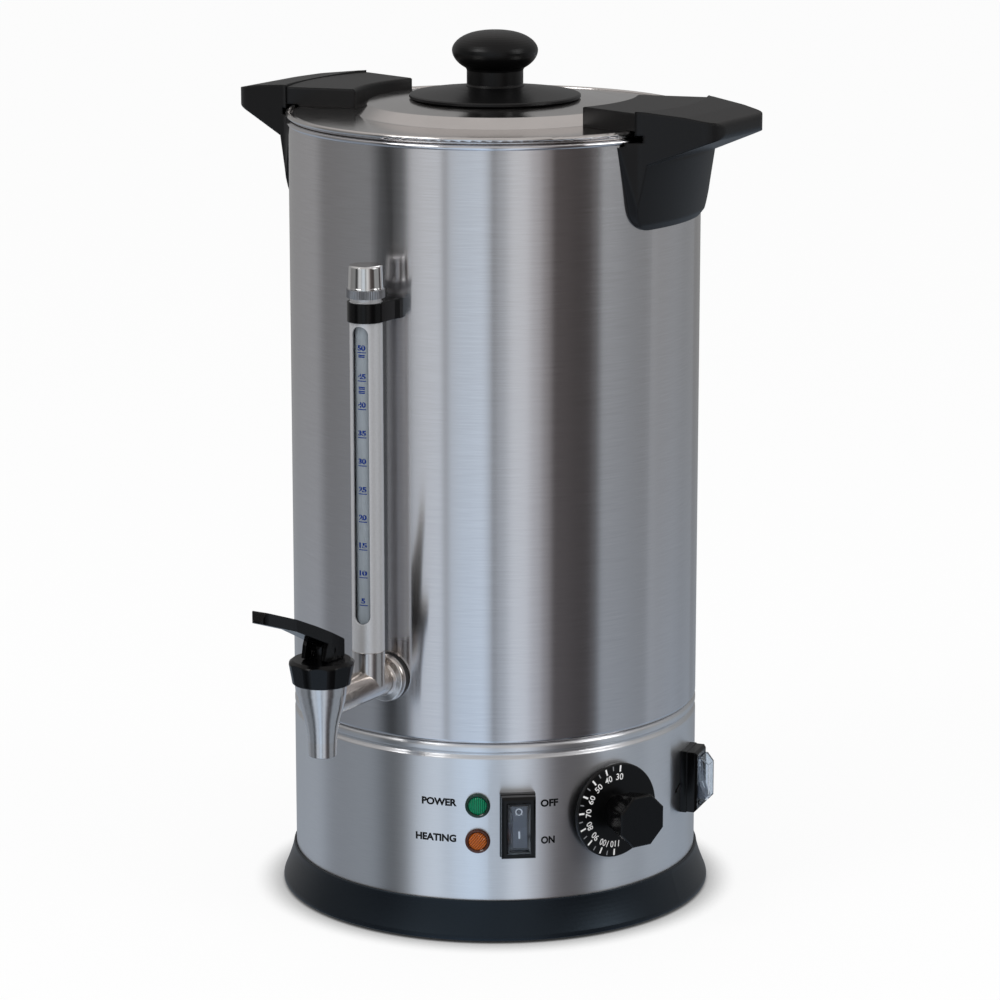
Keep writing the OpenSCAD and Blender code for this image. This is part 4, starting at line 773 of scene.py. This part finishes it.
def off_ring():
    """A flat ring: the rim that an inset leaves round a circle."""
    ring = bmesh.new()
    bmesh.ops.create_circle(ring, cap_ends=True, segments=36, radius=RING_R)
    rim = bmesh.ops.inset_individual(ring, faces=ring.faces[:], thickness=RING_WIDTH)["faces"]
    bmesh.ops.delete(ring, geom=[f for f in ring.faces if f not in rim], context="FACES")
    return ring


def on_line():
    """A flat upright bar."""
    line = bmesh.new()
    bar(line, LINE_WIDTH, LINE_LENGTH)
    return line


for name, body in (("front_rocker", "front_switch_rocker"), ("side_rocker", "side_switch_rocker")):
    signs = bmesh.new()
    for sign, y in ((off_ring(), RING_Y), (on_line(), LINE_Y)):
        up = DISH_HEIGHT + abs(y) * math.tan(math.radians(FACE_SLOPE)) + SIGN_LIFT
        lie = Matrix.Translation((0, y, up)) @ turned(math.copysign(FACE_SLOPE, y), "X")
        bmesh.ops.transform(sign, matrix=lie, verts=sign.verts)
        join(signs, sign)
    place = wall_matrix(*joint_place(name + "_tip")) @ turned(-ROCKER_REST, "X")
    place_piece(name + "_signs", signs, place, body, white_ink)

# %% [markdown]
# The gauge's figures are printed in blue on the clear tube, each with a line under it, and two of them
# with a few short strokes more. They face the slot in the shield, which is turned a little to the right.
# The tube is only 14 mm across, so the lines are cut into four before they are bent round it.

# %% The gauge's figures
GAUGE_Y, TUBE_R, WINDOW_TURN = -145.0, 7.0, 8.5
FIGURES, FIRST_FIGURE, FIGURE_STEP, CUPS_STEP = 10, 211.6, 16.81, 5
GAUGE_FIGURE_HEIGHT, GAUGE_DIGIT_WIDTH, GAUGE_FIGURE_BOLD = 3.3, 2.5, 0.07
UNDERLINE_LENGTH, UNDERLINE_WIDTH, UNDERLINE_Y = 5.4, 0.55, -2.7
STROKE_LENGTH, STROKE_WIDTH = 4.0, 0.7
STROKES = {"50": (-4.3, -5.3), "45": (-6.4, -7.4, -8.8, -9.8)}

figures = bmesh.new()
for k in range(FIGURES):
    label = str(CUPS_STEP * (k + 1))
    figure = flat_words(label, GAUGE_FIGURE_HEIGHT, GAUGE_DIGIT_WIDTH * len(label), GAUGE_FIGURE_BOLD)
    bar(figure, UNDERLINE_LENGTH, UNDERLINE_WIDTH, (0, UNDERLINE_Y), pieces=4)
    for y in STROKES.get(label, ()):
        bar(figure, STROKE_LENGTH, STROKE_WIDTH, (0, y), pieces=4)
    bend(figure, TUBE_R, TUBE_R + INK_LIFT)
    bmesh.ops.translate(figure, verts=figure.verts, vec=(0, FIRST_FIGURE + FIGURE_STEP * k, 0))
    join(figures, figure)
upright = Matrix.Translation((0, GAUGE_Y, 0)) @ turned(WINDOW_TURN, "Z") @ turned(90, "X")
place_piece("gauge_figures", figures, Matrix.Scale(MM, 4) @ upright, "housing", blue_ink)
